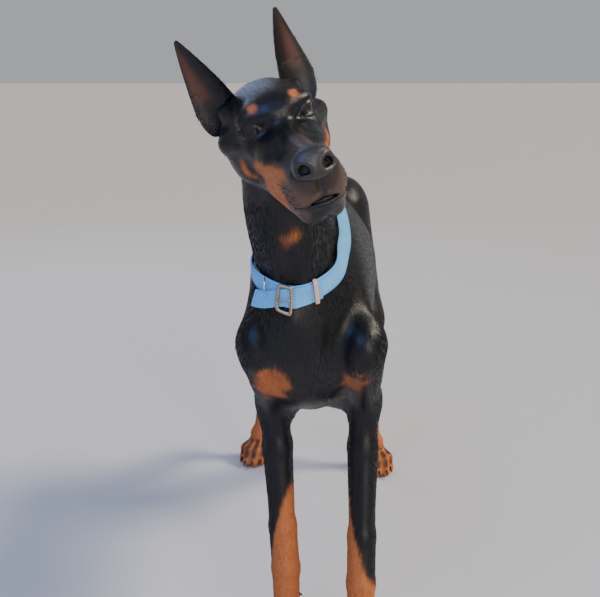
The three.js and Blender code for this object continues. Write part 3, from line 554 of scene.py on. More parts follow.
def ear_spine(side, share):
    tip = EAR_TIPS[side]
    stops = np.array([(44, -66, -12), (47, -70, 14), (mid(47, tip[0], 0.32), -76, mid(14, tip[2], 0.36)),
                      (mid(47, tip[0], 0.68), -80, mid(14, tip[2], 0.7)), tip], float)
    at = np.linspace(0, 1, len(stops))
    return np.stack([spline(share, at, stops[:, k]) for k in range(3)], axis=1)


def ear_form(side, share, angle):
    """Places on the leaf: share runs root to tip, angle round it, with the hollow side at a half turn."""
    centre = ear_spine(side, share)
    run = ear_spine(side, share + 0.01) - ear_spine(side, share - 0.01)
    run /= np.linalg.norm(run, axis=1)[:, None]
    opens = np.array([0.62, 1, 0]) - 0.1 * run
    opens -= (opens * run).sum(1)[:, None] * run
    opens /= np.linalg.norm(opens, axis=1)[:, None]
    across = np.cross(opens, run)
    s, rise = np.cos(angle), np.sin(angle)
    wide = np.interp(share, EAR_SHARE, EAR_HALF_WIDTH) - 0.6
    cup = np.interp(share, EAR_SHARE, EAR_CUP)
    thick = 2.3 - 1.3 * share
    rim = 0.9 * np.exp(-(((np.abs(s) - 0.93) / 0.05) ** 2))
    fold = 2.6 * np.exp(-(((s - 0.35) / 0.16) ** 2)) * np.clip(1 - share / 0.42, 0, 1) * (rise < 0)
    spot = centre + across * (s * wide)[:, None]
    spot += opens * (-cup * (1 - s * s) - rise * (thick + rim) - rise * fold)[:, None]
    spot[:, 0] *= side
    return spot


def make_ear(side):
    made = bmesh.new()
    bmesh.ops.create_uvsphere(made, u_segments=40, v_segments=44, radius=1)
    p = np.array([v.co for v in made.verts])
    share = np.clip(np.arccos(np.clip(p[:, 2], -1, 1)) / math.pi, 0.012, 0.988)
    share = 1 - (share - 0.012) / 0.976
    angle = np.arctan2(p[:, 1], p[:, 0])
    spots = ear_form(side, share, angle)
    ends = np.abs(p[:, 2]) > 0.9999
    for k in np.flatnonzero(ends):
        spots[k] = ear_spine(side, share[k:k + 1])[0] * (side, 1, 1)
        spots[k] += np.array([0, -np.interp(share[k], EAR_SHARE, EAR_CUP) * 0.9, 0])
    spots = np.array([in_head(*spot) for spot in spots])
    for v, co in zip(made.verts, placed(spots)):
        v.co = co
    bmesh.ops.recalc_face_normals(made, faces=made.faces)
    return as_object(made, "ear")


for side in (-1, 1):
    ear = make_ear(side)
    join = skin.modifiers.new("grown on", "BOOLEAN")
    join.operation = "UNION"
    join.solver = "MANIFOLD"
    join.object = ear
    apply_modifiers(skin)
    bpy.data.objects.remove(ear)
made = bmesh.new()
made.from_mesh(skin.data)
q = head_local(unplaced([v.co for v in made.verts]))
q[:, 0] = np.abs(q[:, 0])
by_ear_root = np.linalg.norm((q - (46, -68, -2)) / (1, 1, 1.2), axis=1) < 31
roots = [v for v, near in zip(made.verts, by_ear_root) if near]
for _ in range(6):
    bmesh.ops.smooth_vert(made, verts=roots, factor=0.5, use_axis_x=True, use_axis_y=True, use_axis_z=True)
bmesh.ops.triangulate(made, faces=[f for f in made.faces if len(f.verts) > 4])
made.to_mesh(skin.data)
made.free()
smooth_shading(skin)

# The markings: black with rust over each eye, on the muzzle, cheeks, throat, forechest, legs and feet
# and under the tail. Skin and coat ask the same functions, so their colours always agree.
def soft(distance, width):
    """One inside a marking, falling to nothing across its edge."""
    return 1 / (1 + np.exp(np.clip(distance / width * 4, -30, 30)))


def ragged(p, size, deep):
    """How far the hairs carry an edge to and fro."""
    a, b, c = (p / size).T
    return deep * (np.sin(a + 1.7 * b) + np.sin(1.3 * b - c + 2) + np.sin(0.9 * c + 1.6 * a + 4)) / 2


def egg(p, centre, half):
    half = np.array(half, float)
    return (np.linalg.norm((p - np.array(centre, float)) / half, axis=1) - 1) * half.min()


def leg_sides(p, stops):
    """The unit way from a leg's axis to each point, with how far inward and ahead it looks."""
    stops = np.array(stops)[::-1]
    axis = np.stack([np.interp(p[:, 2], stops[:, 2], stops[:, k]) for k in (0, 1)], axis=1)
    way = p[:, :2] - axis
    return way / np.maximum(np.linalg.norm(way, axis=1), 1e-6)[:, None]


def toe_marks(p, j, spread):
    marks = np.zeros(len(p))
    for x, knuckle, tip in TOES:
        line = (foot_spot(j, x * 0.9 * spread, knuckle - 16, 52), foot_spot(j, x * spread, knuckle, 45),
                foot_spot(j, x * spread, tip, 26))
        marks = np.maximum(marks, soft(along(p, line) - 5.5, 3))
    return marks


def rust_at(p):
    rust = np.zeros(len(p))
    q = head_local(p)
    q[:, 0] = np.abs(q[:, 0])
    edge = ragged(q, 2.4, 0.8)
    flank = np.minimum(along(q, ((36, 18, -48), (27, 40, -48), (23, 82, -46))) - 20,
                       along(q, ((34, 14, -64), (27, 44, -72))) - 16)
    muzzle = np.maximum(flank + edge, q[:, 2] + 23)
    on_face = np.maximum.reduce([
        soft(egg(q, (22, 4, 20), (4.8, 6.2, 4.8)) + edge, 2.8),
        soft(muzzle, 4.0),
        soft(egg(q, (46, -15, -42), (18, 3.6, 11)) + edge, 3.5),
        soft(along(q, ((0, 40, -88), (0, -40, -92))) - 15 + edge, 5),
    ])
    rust = np.where(q[:, 1] > -110, on_face, 0)
    edge = ragged(p, 7.0, 2.4)
    for centre, half, strength in (((-41, -75, 460), (25, 44, 37), 0.9), ((75, -75, 461), (18, 44, 23), 0.65),
                                   ((-13, -108, 692), (10, 30, 13), 0.8),
                                   ((38, 628, 598), (22, 30, 27), 1.0)):
        rust = np.maximum(rust, strength * soft(egg(p, centre, half) + 1.8 * edge, 8))
    for name, j in FORELEGS.items():
        way = leg_sides(p, (j["elbow"], j["wrist"], j["foot"]))
        inward, ahead = -j["side"] * way[:, 0], -way[:, 1]
        top = 205 + 60 * inward + np.where(name == "right", 38, -34) * ahead
        near = np.hypot(*(p[:, :2] - j["foot"][:2]).T) < 75
        rust = np.maximum(rust, near * soft(p[:, 2] - top + edge, 9) * (1 - 0.85 * toe_marks(p, j, 1)))
    for j in HINDLEGS.values():
        way = leg_sides(p, (j["hip"], j["stifle"], j["hock"], j["foot"]))
        inward, ahead = -j["side"] * way[:, 0], -way[:, 1]
        top = 150 + 50 * ahead + 250 * np.clip(inward, 0, 1)
        near = (p[:, 1] > 500) & (j["side"] * (p[:, 0] - 37) > 0)
        rust = np.maximum(rust, near * soft(p[:, 2] - top + edge, 9) * (1 - 0.85 * toe_marks(p, j, 0.92)))
    return rust


def bare_at(p):
    """Where dark hairless skin shows: the lids, the lips' edges and round the nose leather."""
    q = head_local(p)
    q[:, 0] = np.abs(q[:, 0])
    gap, a, out = lid_gap(q)
    lids = soft(gap - 2.2, 1.2) * (out > 2) * (np.abs(a) < 16)
    lips = soft(along(q, LIP_LINE) - 3.6, 2.2)
    front = soft(np.linalg.norm((q - (0, 108, -30)) / (1, 0.8, 1), axis=1) - 23, 6) * 0.7
    split = soft(along(q, ((0, 121, -34), (0, 109, -56))) - 2, 2)
    return np.where(q[:, 1] > -60, np.maximum.reduce([lids, lips, front, split]), 0)


def grizzle_and_sheen_at(p):
    """Where rust and black hairs mingle into brown grey: the front of the lips and the chin; on the bridge the same
    brown grey is a painted sheen.
    """
    q = head_local(p)
    q[:, 0] = np.abs(q[:, 0])
    lips = soft(along(q, ((14, 100, -44), (22, 84, -50), (20, 84, -62))) - 17, 6)
    # The brown grey on the bridge is a painted sheen.
    bridge = soft(along(q, ((0, 100, -4), (0, 70, -2))) - 14, 8) * 0.6
    whiskers = np.zeros(len(p))
    for row, drop in enumerate((-39, -45, -51)):
        for k in range(4):
            spot = (25 - 1.6 * k + row, 62 + 9 * k, drop + 0.6 * k)
            whiskers = np.maximum(whiskers, soft(np.linalg.norm(q - spot, axis=1) - 4.4, 1.0) * (q[:, 0] > 15))
    return np.where(q[:, 1] > 40, np.maximum(lips, bridge) * (1 - 0.7 * whiskers), 0)


def ear_hollow(p):
    """How much of a place is inside an ear's cup, and on its outer strip, where thin hair shows the skin."""
    q = head_local(p)
    side = np.sign(q[:, 0])
    q[:, 0] = np.abs(q[:, 0])
    inside, strip = np.zeros(len(p)), np.zeros(len(p))
    for s in (-1, 1):
        rise = np.clip((q[:, 2] + 12) / (EAR_TIPS[s][2] + 12), 0, 1)
        spine = ear_spine(s, rise)
        cup = np.interp(rise, EAR_SHARE, EAR_CUP)
        out = (q[:, 0] - spine[:, 0]) * 0.53 + (q[:, 1] - spine[:, 1]) * 0.85 + cup
        wide = np.interp(rise, EAR_SHARE, EAR_HALF_WIDTH)
        off = np.linalg.norm((q - spine) * (1, 1, 0), axis=1)
        hollow = soft(-out + 0.3 + 0.02 * off**2 / 4, 1.5) * soft(off - wide * 0.8, 3)
        outer = soft(3 - (q[:, 0] - spine[:, 0]) * 0.85 + (q[:, 1] - spine[:, 1]) * 0.53, 7)
        grown = (side == s) & (q[:, 2] > 0) & (q[:, 1] < -52) & (q[:, 0] > 34)
        inside = np.where(grown, hollow, inside)
        strip = np.where(grown, outer * soft(26 - q[:, 2], 12), strip)
    return inside, strip


def head_share(q):
    """One on the head, falling to nothing where the neck starts."""
    return soft(-(q[:, 1] + 98), 25) * soft(-(q[:, 2] + 100), 14) * soft(np.abs(q[:, 0]) - 90, 10)


def lie_at(p):
    """The way the hairs lie before they are laid along the skin."""
    q = head_local(p)
    down = np.broadcast_to((0.0, 0.2, -1.0), p.shape)
    back = np.broadcast_to((0.0, 0.86, -0.5), p.shape)
    shaft = np.clip((p[:, 2] - 380) / 90, 0, 1)[:, None]
    way = down * (1 - shaft) + back * shaft
    breast = (soft(p[:, 1] + 40, 40) * (p[:, 2] < 740))[:, None]
    way = way * (1 - breast) + np.array((0.0, 0.25, -1.0)) * breast
    skullward = HEAD_TURN @ np.array([0.0, -1.0, -0.12])
    share = head_share(q)[:, None]
    way = way * (1 - share) + skullward * share
    ear = ((q[:, 2] > 34) & (q[:, 1] < -52) & (np.abs(q[:, 0]) > 30))[:, None]
    earward = HEAD_TURN @ np.array([0.0, -0.1, 1.0])
    way = np.where(ear, earward, way)
    return way / np.linalg.norm(way, axis=1)[:, None]


def give_marks(mesh, p, spots):
    """Writes the marks of the coat at each point of a mesh, asked for at the given spots."""
    for name, values in (("rust", rust_at(spots)), ("bare", bare_at(spots)), ("ear_hollow", np.prod(ear_hollow(spots), axis=0)),
                         ("grizzle_and_sheen", grizzle_and_sheen_at(spots))):
        layer = mesh.attributes.new(name, "FLOAT", "POINT")
        layer.data.foreach_set("value", np.asarray(values, np.float32))
    way = lie_at(spots)
    grain = p - 0.88 * (p * way).sum(1)[:, None] * way
    layer = mesh.attributes.new("grain", "FLOAT_VECTOR", "POINT")
    layer.data.foreach_set("vector", np.asarray(grain * MM, np.float32).ravel())


# The coat: very short, hard, glossy hair. Black hair mirrors the blue sky lamp along each strand, and its faint
# sheen is tinted sky blue, a painted reflection of the sky. Rust hair is duller, and the bare skin of lids
# and lips is dark and a little moist.
def sheet_colour(text, strength=1.0):
    """An sRGB hex colour as the linear one that the shader wants."""
    parts = [int(text[i:i + 2], 16) / 255 for i in (1, 3, 5)]
    linear = [c / 12.92 if c <= 0.04045 else ((c + 0.055) / 1.055) ** 2.4 for c in parts]
    return (*(c * strength for c in linear), 1)


def add_node(material, kind, inputs=(), **settings):
    """One shader node: its settings, then what feeds its sockets, a link where a socket is given."""
    node = material.node_tree.nodes.new(kind)
    for name, value in settings.items():
        setattr(node, name, value)
    for name, value in dict(inputs).items():
        if isinstance(value, bpy.types.NodeSocket):
            material.node_tree.links.new(value, node.inputs[name])
        else:
            node.inputs[name].default_value = value
    return node


def new_material(name, **sockets):
    material = bpy.data.materials.new(name)
    material.use_nodes = True
    shader = material.node_tree.nodes["Principled BSDF"]
    for socket, value in sockets.items():
        shader.inputs[socket.replace("_", " ")].default_value = value
    return material, shader


def mix_colours(material, share, first, second):
    node = add_node(material, "ShaderNodeMix", data_type="RGBA")
    for socket, value in (("Factor_Float", share), ("A_Color", first), ("B_Color", second)):
        target = next(s for s in node.inputs if s.identifier == socket)
        if isinstance(value, bpy.types.NodeSocket):
            material.node_tree.links.new(value, target)
        else:
            target.default_value = value
    return next(s for s in node.outputs if s.identifier == "Result_Color")


coat, shader = new_material("short glossy black and rust hair", Roughness=0.34, Sheen_Weight=0.02,
                            Sheen_Roughness=0.4, Specular_IOR_Level=0.36)
# The sheen's sky-blue tint is a painted reflection of the sky on the black hair.
shader.inputs["Sheen Tint"].default_value = sheet_colour("#9fb6d8")
rust = add_node(coat, "ShaderNodeAttribute", attribute_name="rust").outputs["Fac"]
bare = add_node(coat, "ShaderNodeAttribute", attribute_name="bare").outputs["Fac"]
hollow = add_node(coat, "ShaderNodeAttribute", attribute_name="ear_hollow").outputs["Fac"]
grizzle_and_sheen = add_node(coat, "ShaderNodeAttribute", attribute_name="grizzle_and_sheen").outputs["Fac"]
grain = add_node(coat, "ShaderNodeAttribute", attribute_name="grain").outputs["Vector"]
# Hairs are some 0.1 mm thick; locks of them about 1.6 mm across are the finest that the picture holds.
locks = add_node(coat, "ShaderNodeTexNoise", {"Vector": grain, "Scale": 620, "Detail": 2.0, "Roughness": 0.6})
drift = add_node(coat, "ShaderNodeTexNoise", {"Vector": grain, "Scale": 90, "Detail": 3.0, "Roughness": 0.6})
black_hair = mix_colours(coat, drift.outputs["Fac"], sheet_colour("#030304"), sheet_colour("#0a0b10"))
rust_hair = mix_colours(coat, locks.outputs["Fac"], sheet_colour("#8a4018"), sheet_colour("#d07c40"))
colour = mix_colours(coat, rust, black_hair, rust_hair)
# Brown grey of mingled hairs on the lips and chin, and painted sheen on the bridge.
mingled_hair_and_sheen = mix_colours(coat, locks.outputs["Fac"], sheet_colour("#1a1513"), sheet_colour("#6a5142"))
colour = mix_colours(coat, grizzle_and_sheen, colour, mingled_hair_and_sheen)
colour = mix_colours(coat, hollow, colour, sheet_colour("#4c2a1e"))
colour = mix_colours(coat, bare, colour, sheet_colour("#14100f"))
coat.node_tree.links.new(colour, shader.inputs["Base Color"])
dullness = add_node(coat, "ShaderNodeMapRange", {"Value": rust, "To Min": 0.34, "To Max": 0.6})
coat.node_tree.links.new(dullness.outputs["Result"], shader.inputs["Roughness"])
hair_bump = add_node(coat, "ShaderNodeBump",
                     {"Height": locks.outputs["Fac"], "Strength": 0.4, "Distance": 0.0009})
coat.node_tree.links.new(hair_bump.outputs["Normal"], shader.inputs["Normal"])
skin.data.materials.clear()
skin.data.materials.append(coat)
skin_at = unplaced([v.co for v in skin.data.vertices])
give_marks(skin.data, skin_at, skin_at)
bpy.context.view_layer.objects.active = skin
skin.select_set(True)
bpy.ops.object.mode_set(mode="EDIT")
bpy.ops.mesh.select_all(action="SELECT")
skin.data.uv_layers.new(name="OFBake")
bpy.ops.uv.smart_project(angle_limit=math.radians(66), island_margin=0.002)
bpy.ops.object.mode_set(mode="OBJECT")
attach(skin, DOG)
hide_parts(*FLESH, *EARS)
print("SKIN", len(skin.data.polygons), sum(len(p.vertices) - 2 for p in skin.data.polygons))

# The hair that stands just clear of the skin: thin tapering tufts, each one closed, that lie along the
# body and overlap. They are shortest on the face and feet, and none grow under the collar.
COLLAR_AT = np.array([-3.0, -12.0, 663.0])
COLLAR_TILT = math.radians(31)
COLLAR_UP = np.array([0, -math.sin(COLLAR_TILT), math.cos(COLLAR_TILT)])
COLLAR_FRONT = np.array([0, -math.cos(COLLAR_TILT), -math.sin(COLLAR_TILT)])
STRAP_WIDE = 21.0
TUFT_SINK = 0.25
draw = np.random.default_rng(7)


def tuft_sizes(p):
    """Length, width and how many square millimetres of skin each tuft has, by place."""
    q = head_local(p)
    face_share = head_share(q)
    snout = np.clip((q[:, 1] + 10) / 90, 0, 1) * face_share
    foot = soft(p[:, 2] - 90, 40)
    leg = soft(p[:, 2] - 400, 60)
    ear = (q[:, 2] > 16) & (q[:, 1] < -50) & (np.abs(q[:, 0]) > 34) & (p[:, 2] > 700)
    length = 7.6 - 1.0 * leg - 2.6 * foot - 3.4 * face_share - 1.0 * snout - 0.8 * ear
    width = 0.9 - 0.1 * leg - 0.2 * foot - 0.4 * face_share - 0.1 * snout
    room = 10.5 - 2 * leg - 3.6 * foot - 6.2 * face_share - 1.0 * snout
    return length, width, room


def grow_tufts(name, grows, most=48000):
    """One mesh of tufts on every part of the skin where grows holds."""
    mesh = skin.data
    mesh.calc_loop_triangles()
    count = len(mesh.loop_triangles)
    corner = np.empty(count * 3, np.int32)
    loops = np.empty(count * 3, np.int32)
    mesh.loop_triangles.foreach_get("vertices", corner)
    mesh.loop_triangles.foreach_get("loops", loops)
    co = np.empty(len(mesh.vertices) * 3)
    normal = np.empty(len(mesh.vertices) * 3)
    mesh.vertices.foreach_get("co", co)
    mesh.vertices.foreach_get("normal", normal)
    sheet_uv = np.empty(len(mesh.loops) * 2)
    mesh.uv_layers["OFBake"].data.foreach_get("uv", sheet_uv)
    corner, loops = corner.reshape(-1, 3), loops.reshape(-1, 3)
    co, normal, sheet_uv = co.reshape(-1, 3), normal.reshape(-1, 3), sheet_uv.reshape(-1, 2)
    a, b, c = (co[corner[:, k]] for k in range(3))
    area = np.linalg.norm(np.cross(b - a, c - a), axis=1) / 2 / MM**2
    middle = unplaced((a + b + c) / 3)
    share = np.where(grows(middle), area / tuft_sizes(middle)[2], 0)
    if share.sum() > most:
        share *= most / share.sum()
    each = np.floor(share + draw.random(count)).astype(int)
    tri = np.repeat(np.arange(count), each)
    u, v = draw.random(len(tri)), draw.random(len(tri))
    over = u + v > 1
    u[over], v[over] = 1 - u[over], 1 - v[over]
    weights = np.stack([1 - u - v, u, v], axis=1)[:, :, None]
    root = (co[corner[tri]] * weights).sum(1)
    up = (normal[corner[tri]] * weights).sum(1)
    up /= np.linalg.norm(up, axis=1)[:, None]
    uv = (sheet_uv[loops[tri]] * weights).sum(1)
    spot = unplaced(root)
    length, width, _ = tuft_sizes(spot)
    count = len(root)
    vary = draw.uniform(0.75, 1.25, count)
    way = lie_at(spot)
    way = way - (way * up).sum(1)[:, None] * up
    way /= np.maximum(np.linalg.norm(way, axis=1), 1e-6)[:, None]
    across = np.cross(up, way)
    swing = draw.normal(0, 0.13, count)[:, None]
    way = way * np.cos(swing) + across * np.sin(swing)
    across = np.cross(up, way)
    rise = np.radians(draw.uniform(2.5, 6.5, count))[:, None]
    half = (width * vary * 0.5 * MM)[:, None]
    low = root - up * TUFT_SINK * MM
    tip = root + (way * np.cos(rise) + up * np.sin(rise)) * (length * vary * MM)[:, None]
    spots = np.stack([low - across * half, low + across * half, low + up * (half + TUFT_SINK * MM), tip], axis=1)
    first = np.arange(count)[:, None, None] * 4
    faces = (first + np.array([[2, 0, 3], [1, 2, 3], [0, 1, 3], [0, 2, 1]])).reshape(-1, 3)
    mesh = bpy.data.meshes.new(name)
    mesh.from_pydata(spots.reshape(-1, 3), [], faces)
    mesh.materials.append(coat)
    mesh.polygons.foreach_set("use_smooth", np.ones(len(faces), bool))
    lean = up + across * draw.normal(0, 0.10, count)[:, None]
    lean /= np.linalg.norm(lean, axis=1)[:, None]
    mesh.normals_split_custom_set_from_vertices(np.repeat(lean, 4, axis=0))
    give_marks(mesh, unplaced(spots.reshape(-1, 3)), np.repeat(spot, 4, axis=0))
    patch = np.array([[0, 0], [0.003, 0], [0.0015, 0.0015], [0.0015, 0.003]])
    layer = mesh.uv_layers.new(name="OFBake")
    spread = (uv[:, None, :] + patch - 0.0015).reshape(-1, 2)
    layer.data.foreach_set("uv", np.clip(spread, 0, 1)[faces.ravel()].astype(np.float32).ravel())
    piece = bpy.data.objects.new(name, mesh)
    bpy.context.scene.collection.objects.link(piece)
    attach(piece, DOG)


def clear_of_face(p):
    """Not on the nose, lids, lips or the inside of the ears, and not under the collar."""
    q = head_local(p)
    q[:, 0] = np.abs(q[:, 0])
    under_collar = (np.abs((p - COLLAR_AT) @ COLLAR_UP) < STRAP_WIDE / 2 + 2) & (p[:, 2] > 560)
    return (bare_at(p) < 0.25) & (q[:, 1] < 104) & ~under_collar & (ear_hollow(p)[0] < 0.05) & (p[:, 2] > 4)


def in_front(p):
    return head_share(head_local(p)) > 0.5


grow_tufts("coat_head", lambda p: clear_of_face(p) & in_front(p))
grow_tufts("coat_neck_chest", lambda p: clear_of_face(p) & ~in_front(p) & (p[:, 1] < 130) & (p[:, 2] > 380))
grow_tufts("coat_back", lambda p: (p[:, 1] >= 130) & (p[:, 2] > 500))
grow_tufts("coat_belly_thighs", lambda p: (p[:, 1] >= 130) & (p[:, 2] <= 500) & (p[:, 2] > 240))
grow_tufts("coat_legs", lambda p: ((p[:, 2] <= 380) & (p[:, 1] < 130) | (p[:, 2] <= 240)) & (p[:, 2] > 4))

# The whiskers of the upper lip: four rows of short dark bristles, each out of a small dark bump.
bristle, shader = new_material("stiff dark whisker", Roughness=0.4)
shader.inputs["Base Color"].default_value = sheet_colour("#0d0a09")
surface = BVHTree.FromObject(skin, bpy.context.evaluated_depsgraph_get())
made = bmesh.new()
for side in (-1, 1):
    for row, drop in enumerate((-41, -46, -51, -56)):
        for k in range(6):
            seed = in_head(side * 46, 70 + 8 * k + 3 * (row % 2) + draw.normal(0, 0.8), drop + draw.normal(0, 0.6))
            inward = Vector(HEAD_TURN @ np.array([-side * 1.0, -0.2 - 0.06 * k, 0.0]))
            spot, normal, _, _ = surface.ray_cast(Vector(placed(seed)), inward)
            if spot is None:
                continue
            long = draw.uniform(2.5, 5) * MM
            outward = (normal + Vector(HEAD_TURN @ np.array([0, -0.55, -0.35]))).normalized()
            turn = outward.to_track_quat("Z", "Y").to_matrix().to_4x4()
            bump = Matrix.Translation(spot) @ turn
            bmesh.ops.create_icosphere(made, subdivisions=2, radius=0.8 * MM,
                                       matrix=bump @ Matrix.Diagonal((1, 1, 0.7, 1)))
            bmesh.ops.create_cone(made, cap_ends=True, segments=6, radius1=0.2 * MM, radius2=0.05 * MM,
                                  depth=long, matrix=bump @ Matrix.Translation((0, 0, long / 2)))
whiskers = as_object(made, "whiskers")
whiskers.data.materials.append(bristle)
smooth_shading(whiskers)
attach(whiskers, DOG)

# The eyes: a dark brown iris round a wide pupil, in a wet white that the lids mostly cover. Each eyeball
# is one glass-clear ball whose colours lie in rings round its own gaze.
def ball_of(node, radius_more):
    low, high = (np.array(corner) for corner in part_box(node))
    made = bmesh.new()
    bmesh.ops.create_uvsphere(made, u_segments=48, v_segments=32, radius=1)
    return made, (low + high) / 2, (high - low).mean() / 2 + radius_more


def colour_rings(material, attribute, stops):
    """Colours that follow an attribute outwards, from named edges."""
    value = add_node(material, "ShaderNodeAttribute", attribute_name=attribute).outputs["Fac"]
    ramp = add_node(material, "ShaderNodeValToRGB", {"Fac": value})
    while len(ramp.color_ramp.elements) < len(stops):
        ramp.color_ramp.elements.new(0.5)
    for element, (place, colour) in zip(ramp.color_ramp.elements, stops):
        element.position = place
        element.color = sheet_colour(colour)
    return ramp.outputs["Color"]


wet_eye, shader = new_material("wet dark brown eye", Roughness=0.06, Coat_Weight=1.0, Coat_Roughness=0.02,
                               Specular_IOR_Level=0.6)
rings = colour_rings(wet_eye, "from_pupil", [
    (0.0, "#020101"), (0.28, "#030202"), (0.32, "#180c06"), (0.50, "#24130a"), (0.60, "#0d0705"),
    (0.68, "#0f0b0a"), (0.78, "#3a302c"), (0.95, "#40342f")])
wet_eye.node_tree.links.new(rings, shader.inputs["Base Color"])
for side, node in ((1, "eye_left"), (-1, "eye_right")):
    made, middle, radius = ball_of(node, 0)
    gaze = HEAD_TURN @ np.array([side * math.sin(GAZE_OUT), math.cos(GAZE_OUT), 0.04])
    turn = Vector(gaze).to_track_quat("Z", "Y").to_matrix()
    spread = []
    for vert in made.verts:
        out = math.acos(max(-1.0, min(1.0, vert.co.z))) / (math.pi / 2)
        bulge = 1 + 0.045 * math.exp(-((out / 0.42) ** 4))
        spread.append(min(out, 1.0))
        vert.co = Vector(middle) + turn @ (vert.co * radius * bulge * 0.985)
    eye = as_object(made, node)
    layer = eye.data.attributes.new("from_pupil", "FLOAT", "POINT")
    layer.data.foreach_set("value", spread)
    eye.data.materials.append(wet_eye)
    smooth_shading(eye)
    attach(eye, DOG)
    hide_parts(node)

# The nose: a pad of bare pebbled leather with a split below, moist, between open nostrils.
nose = copy_of(["nose"], "nose")
whole = nose.modifiers.new("even faces", "REMESH")
whole.mode = "VOXEL"
whole.voxel_size = 0.0009
apply_modifiers(nose)
made = bmesh.new()
made.from_mesh(nose.data)
for _ in range(5):
    bmesh.ops.smooth_vert(made, verts=made.verts, factor=0.5, use_axis_x=True, use_axis_y=True, use_axis_z=True)
q = head_local(unplaced([v.co for v in made.verts]))
w = np.abs(q) * (1, 0, 0) + q * (0, 1, 1)
front = soft(112 - q[:, 1], 4)
lower = np.clip((-24 - q[:, 2]) / 14, 0, 1)
rim = np.linalg.norm((w - (13.6, 0, -22.5)) * (1, 0, 1) / (7.8, 1, 6.6), axis=1)
back = (crease(w, ((0, 124, -16), (0, 122, -30), (0, 116, -40)), 1.5, 2.0)
        + crease(w, ((14, 120, -27), (19, 116, -29), (23, 108, -27)), 1.8, 0.6)
        + 1.6 * soft(rim - 0.95, 0.3) - 0.8 * np.exp(-(((rim - 1.35) / 0.25) ** 2)))
q[:, 1] -= back * front
q[:, 0] *= 1 - 0.3 * lower * front
for v, spot in zip(made.verts, q):
    v.co = Vector(placed(in_head(*spot)))
made.to_mesh(nose.data)
made.free()
leather, shader = new_material("moist pebbled nose leather", Roughness=0.38, Coat_Weight=0.12,
                               Coat_Roughness=0.25, Specular_IOR_Level=0.5)
place = add_node(leather, "ShaderNodeTexCoord").outputs["Object"]
# The pebbles of the pad are some 1.3 mm across.
pebbles = add_node(leather, "ShaderNodeTexVoronoi", {"Vector": place, "Scale": 760}, feature="F1")
pebble_bump = add_node(leather, "ShaderNodeBump",
                       {"Height": pebbles.outputs["Distance"], "Strength": 0.45, "Distance": 0.0006}, invert=True)
leather.node_tree.links.new(pebble_bump.outputs["Normal"], shader.inputs["Normal"])
leather_shade = add_node(leather, "ShaderNodeTexNoise", {"Vector": place, "Scale": 70, "Detail": 3.0})
# Inside the nostrils the leather is near-black: partly the dark lining, partly painted shade in the openings.
inside = add_node(leather, "ShaderNodeAttribute", attribute_name="nostril_lining_and_shade").outputs["Fac"]
pad = mix_colours(leather, leather_shade.outputs["Fac"], sheet_colour("#171415"), sheet_colour("#2f2928"))
leather.node_tree.links.new(mix_colours(leather, inside, pad, sheet_colour("#050404")), shader.inputs["Base Color"])
nose.data.materials.clear()
nose.data.materials.append(leather)
q = head_local(unplaced([v.co for v in nose.data.vertices]))
q[:, 0] = np.abs(q[:, 0])
# The painted shade of the nostril openings, with their dark lining.
hole = np.linalg.norm((q - (13.2, 117, -22.2)) / (7.2, 9.0, 6.4), axis=1)
depth = soft(hole - 1.0, 0.3) * (q[:, 1] < 118.5)
layer = nose.data.attributes.new("nostril_lining_and_shade", "FLOAT", "POINT")
layer.data.foreach_set("value", depth.astype(np.float32))
smooth_shading(nose)
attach(nose, DOG)
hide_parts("nose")

# The claws: blunt dark horn that curves over and down, worn at the tips.
horn, shader = new_material("dark horn worn pale at the tip", Roughness=0.36, Specular_IOR_Level=0.45)
place = add_node(horn, "ShaderNodeTexCoord").outputs["Object"]
layers = add_node(horn, "ShaderNodeTexNoise", {"Vector": place, "Scale": 260, "Detail": 2.0})
shade = mix_colours(horn, layers.outputs["Fac"], sheet_colour("#0e0b0a"), sheet_colour("#332a25"))
horn.node_tree.links.new(shade, shader.inputs["Base Color"])
claws = [f"claw_{paw_name}_{side}_{k}" for paw_name in ("forepaw", "hindpaw") for side in ("left", "right")
         for k in (1, 2, 3, 4)] + ["dewclaw_left", "dewclaw_right"]
for node in claws:
    claw = copy_of([node], node)
    rounded = claw.modifiers.new("rounded", "SUBSURF")
    rounded.levels = rounded.render_levels = 2
    apply_modifiers(claw)
    claw.data.materials.clear()
    claw.data.materials.append(horn)
    smooth_shading(claw)
    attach(claw, DOG)
    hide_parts(node)

# The collar: 21 mm nylon webbing, woven in fine ribs and stitched along both edges. It closes in front,
# where the free end runs through a moulded keeper and a cast buckle.
def collar_places(p):
    """For points by the collar: the angle round it from the front to the left, and the height on it."""
    w = p - COLLAR_AT
    return np.arctan2(w[:, 0], w @ COLLAR_FRONT), w @ COLLAR_UP


def quads_of(piece):
    made = bmesh.new()
    made.from_mesh(piece.data)
    bmesh.ops.join_triangles(made, faces=made.faces, angle_face_threshold=0.5, angle_shape_threshold=1.2)
    made.to_mesh(piece.data)
    made.free()


def webbing_map(piece):
    """Lays the weave along the strap, in metres, with no jump where the strap closes behind the neck."""
    mesh = piece.data
    turn, height = collar_places(unplaced([v.co for v in mesh.vertices]))
    layer = mesh.uv_layers.new(name="weave")
    for face in mesh.polygons:
        turns = turn[list(face.vertices)]
        if np.ptp(turns) > math.pi:
            turns = np.where(turns < 0, turns + 2 * math.pi, turns)
        for loop, vert, angle in zip(face.loop_indices, face.vertices, turns):
            layer.data[loop].uv = (angle * 0.062, height[vert] * MM)


webbing, shader = new_material("ribbed blue nylon webbing", Roughness=0.62, Sheen_Weight=0.3,
                               Sheen_Roughness=0.35, Specular_IOR_Level=0.4)
shader.inputs["Sheen Tint"].default_value = sheet_colour("#bfe2ff")
weave = add_node(webbing, "ShaderNodeUVMap", uv_map="weave").outputs["UV"]
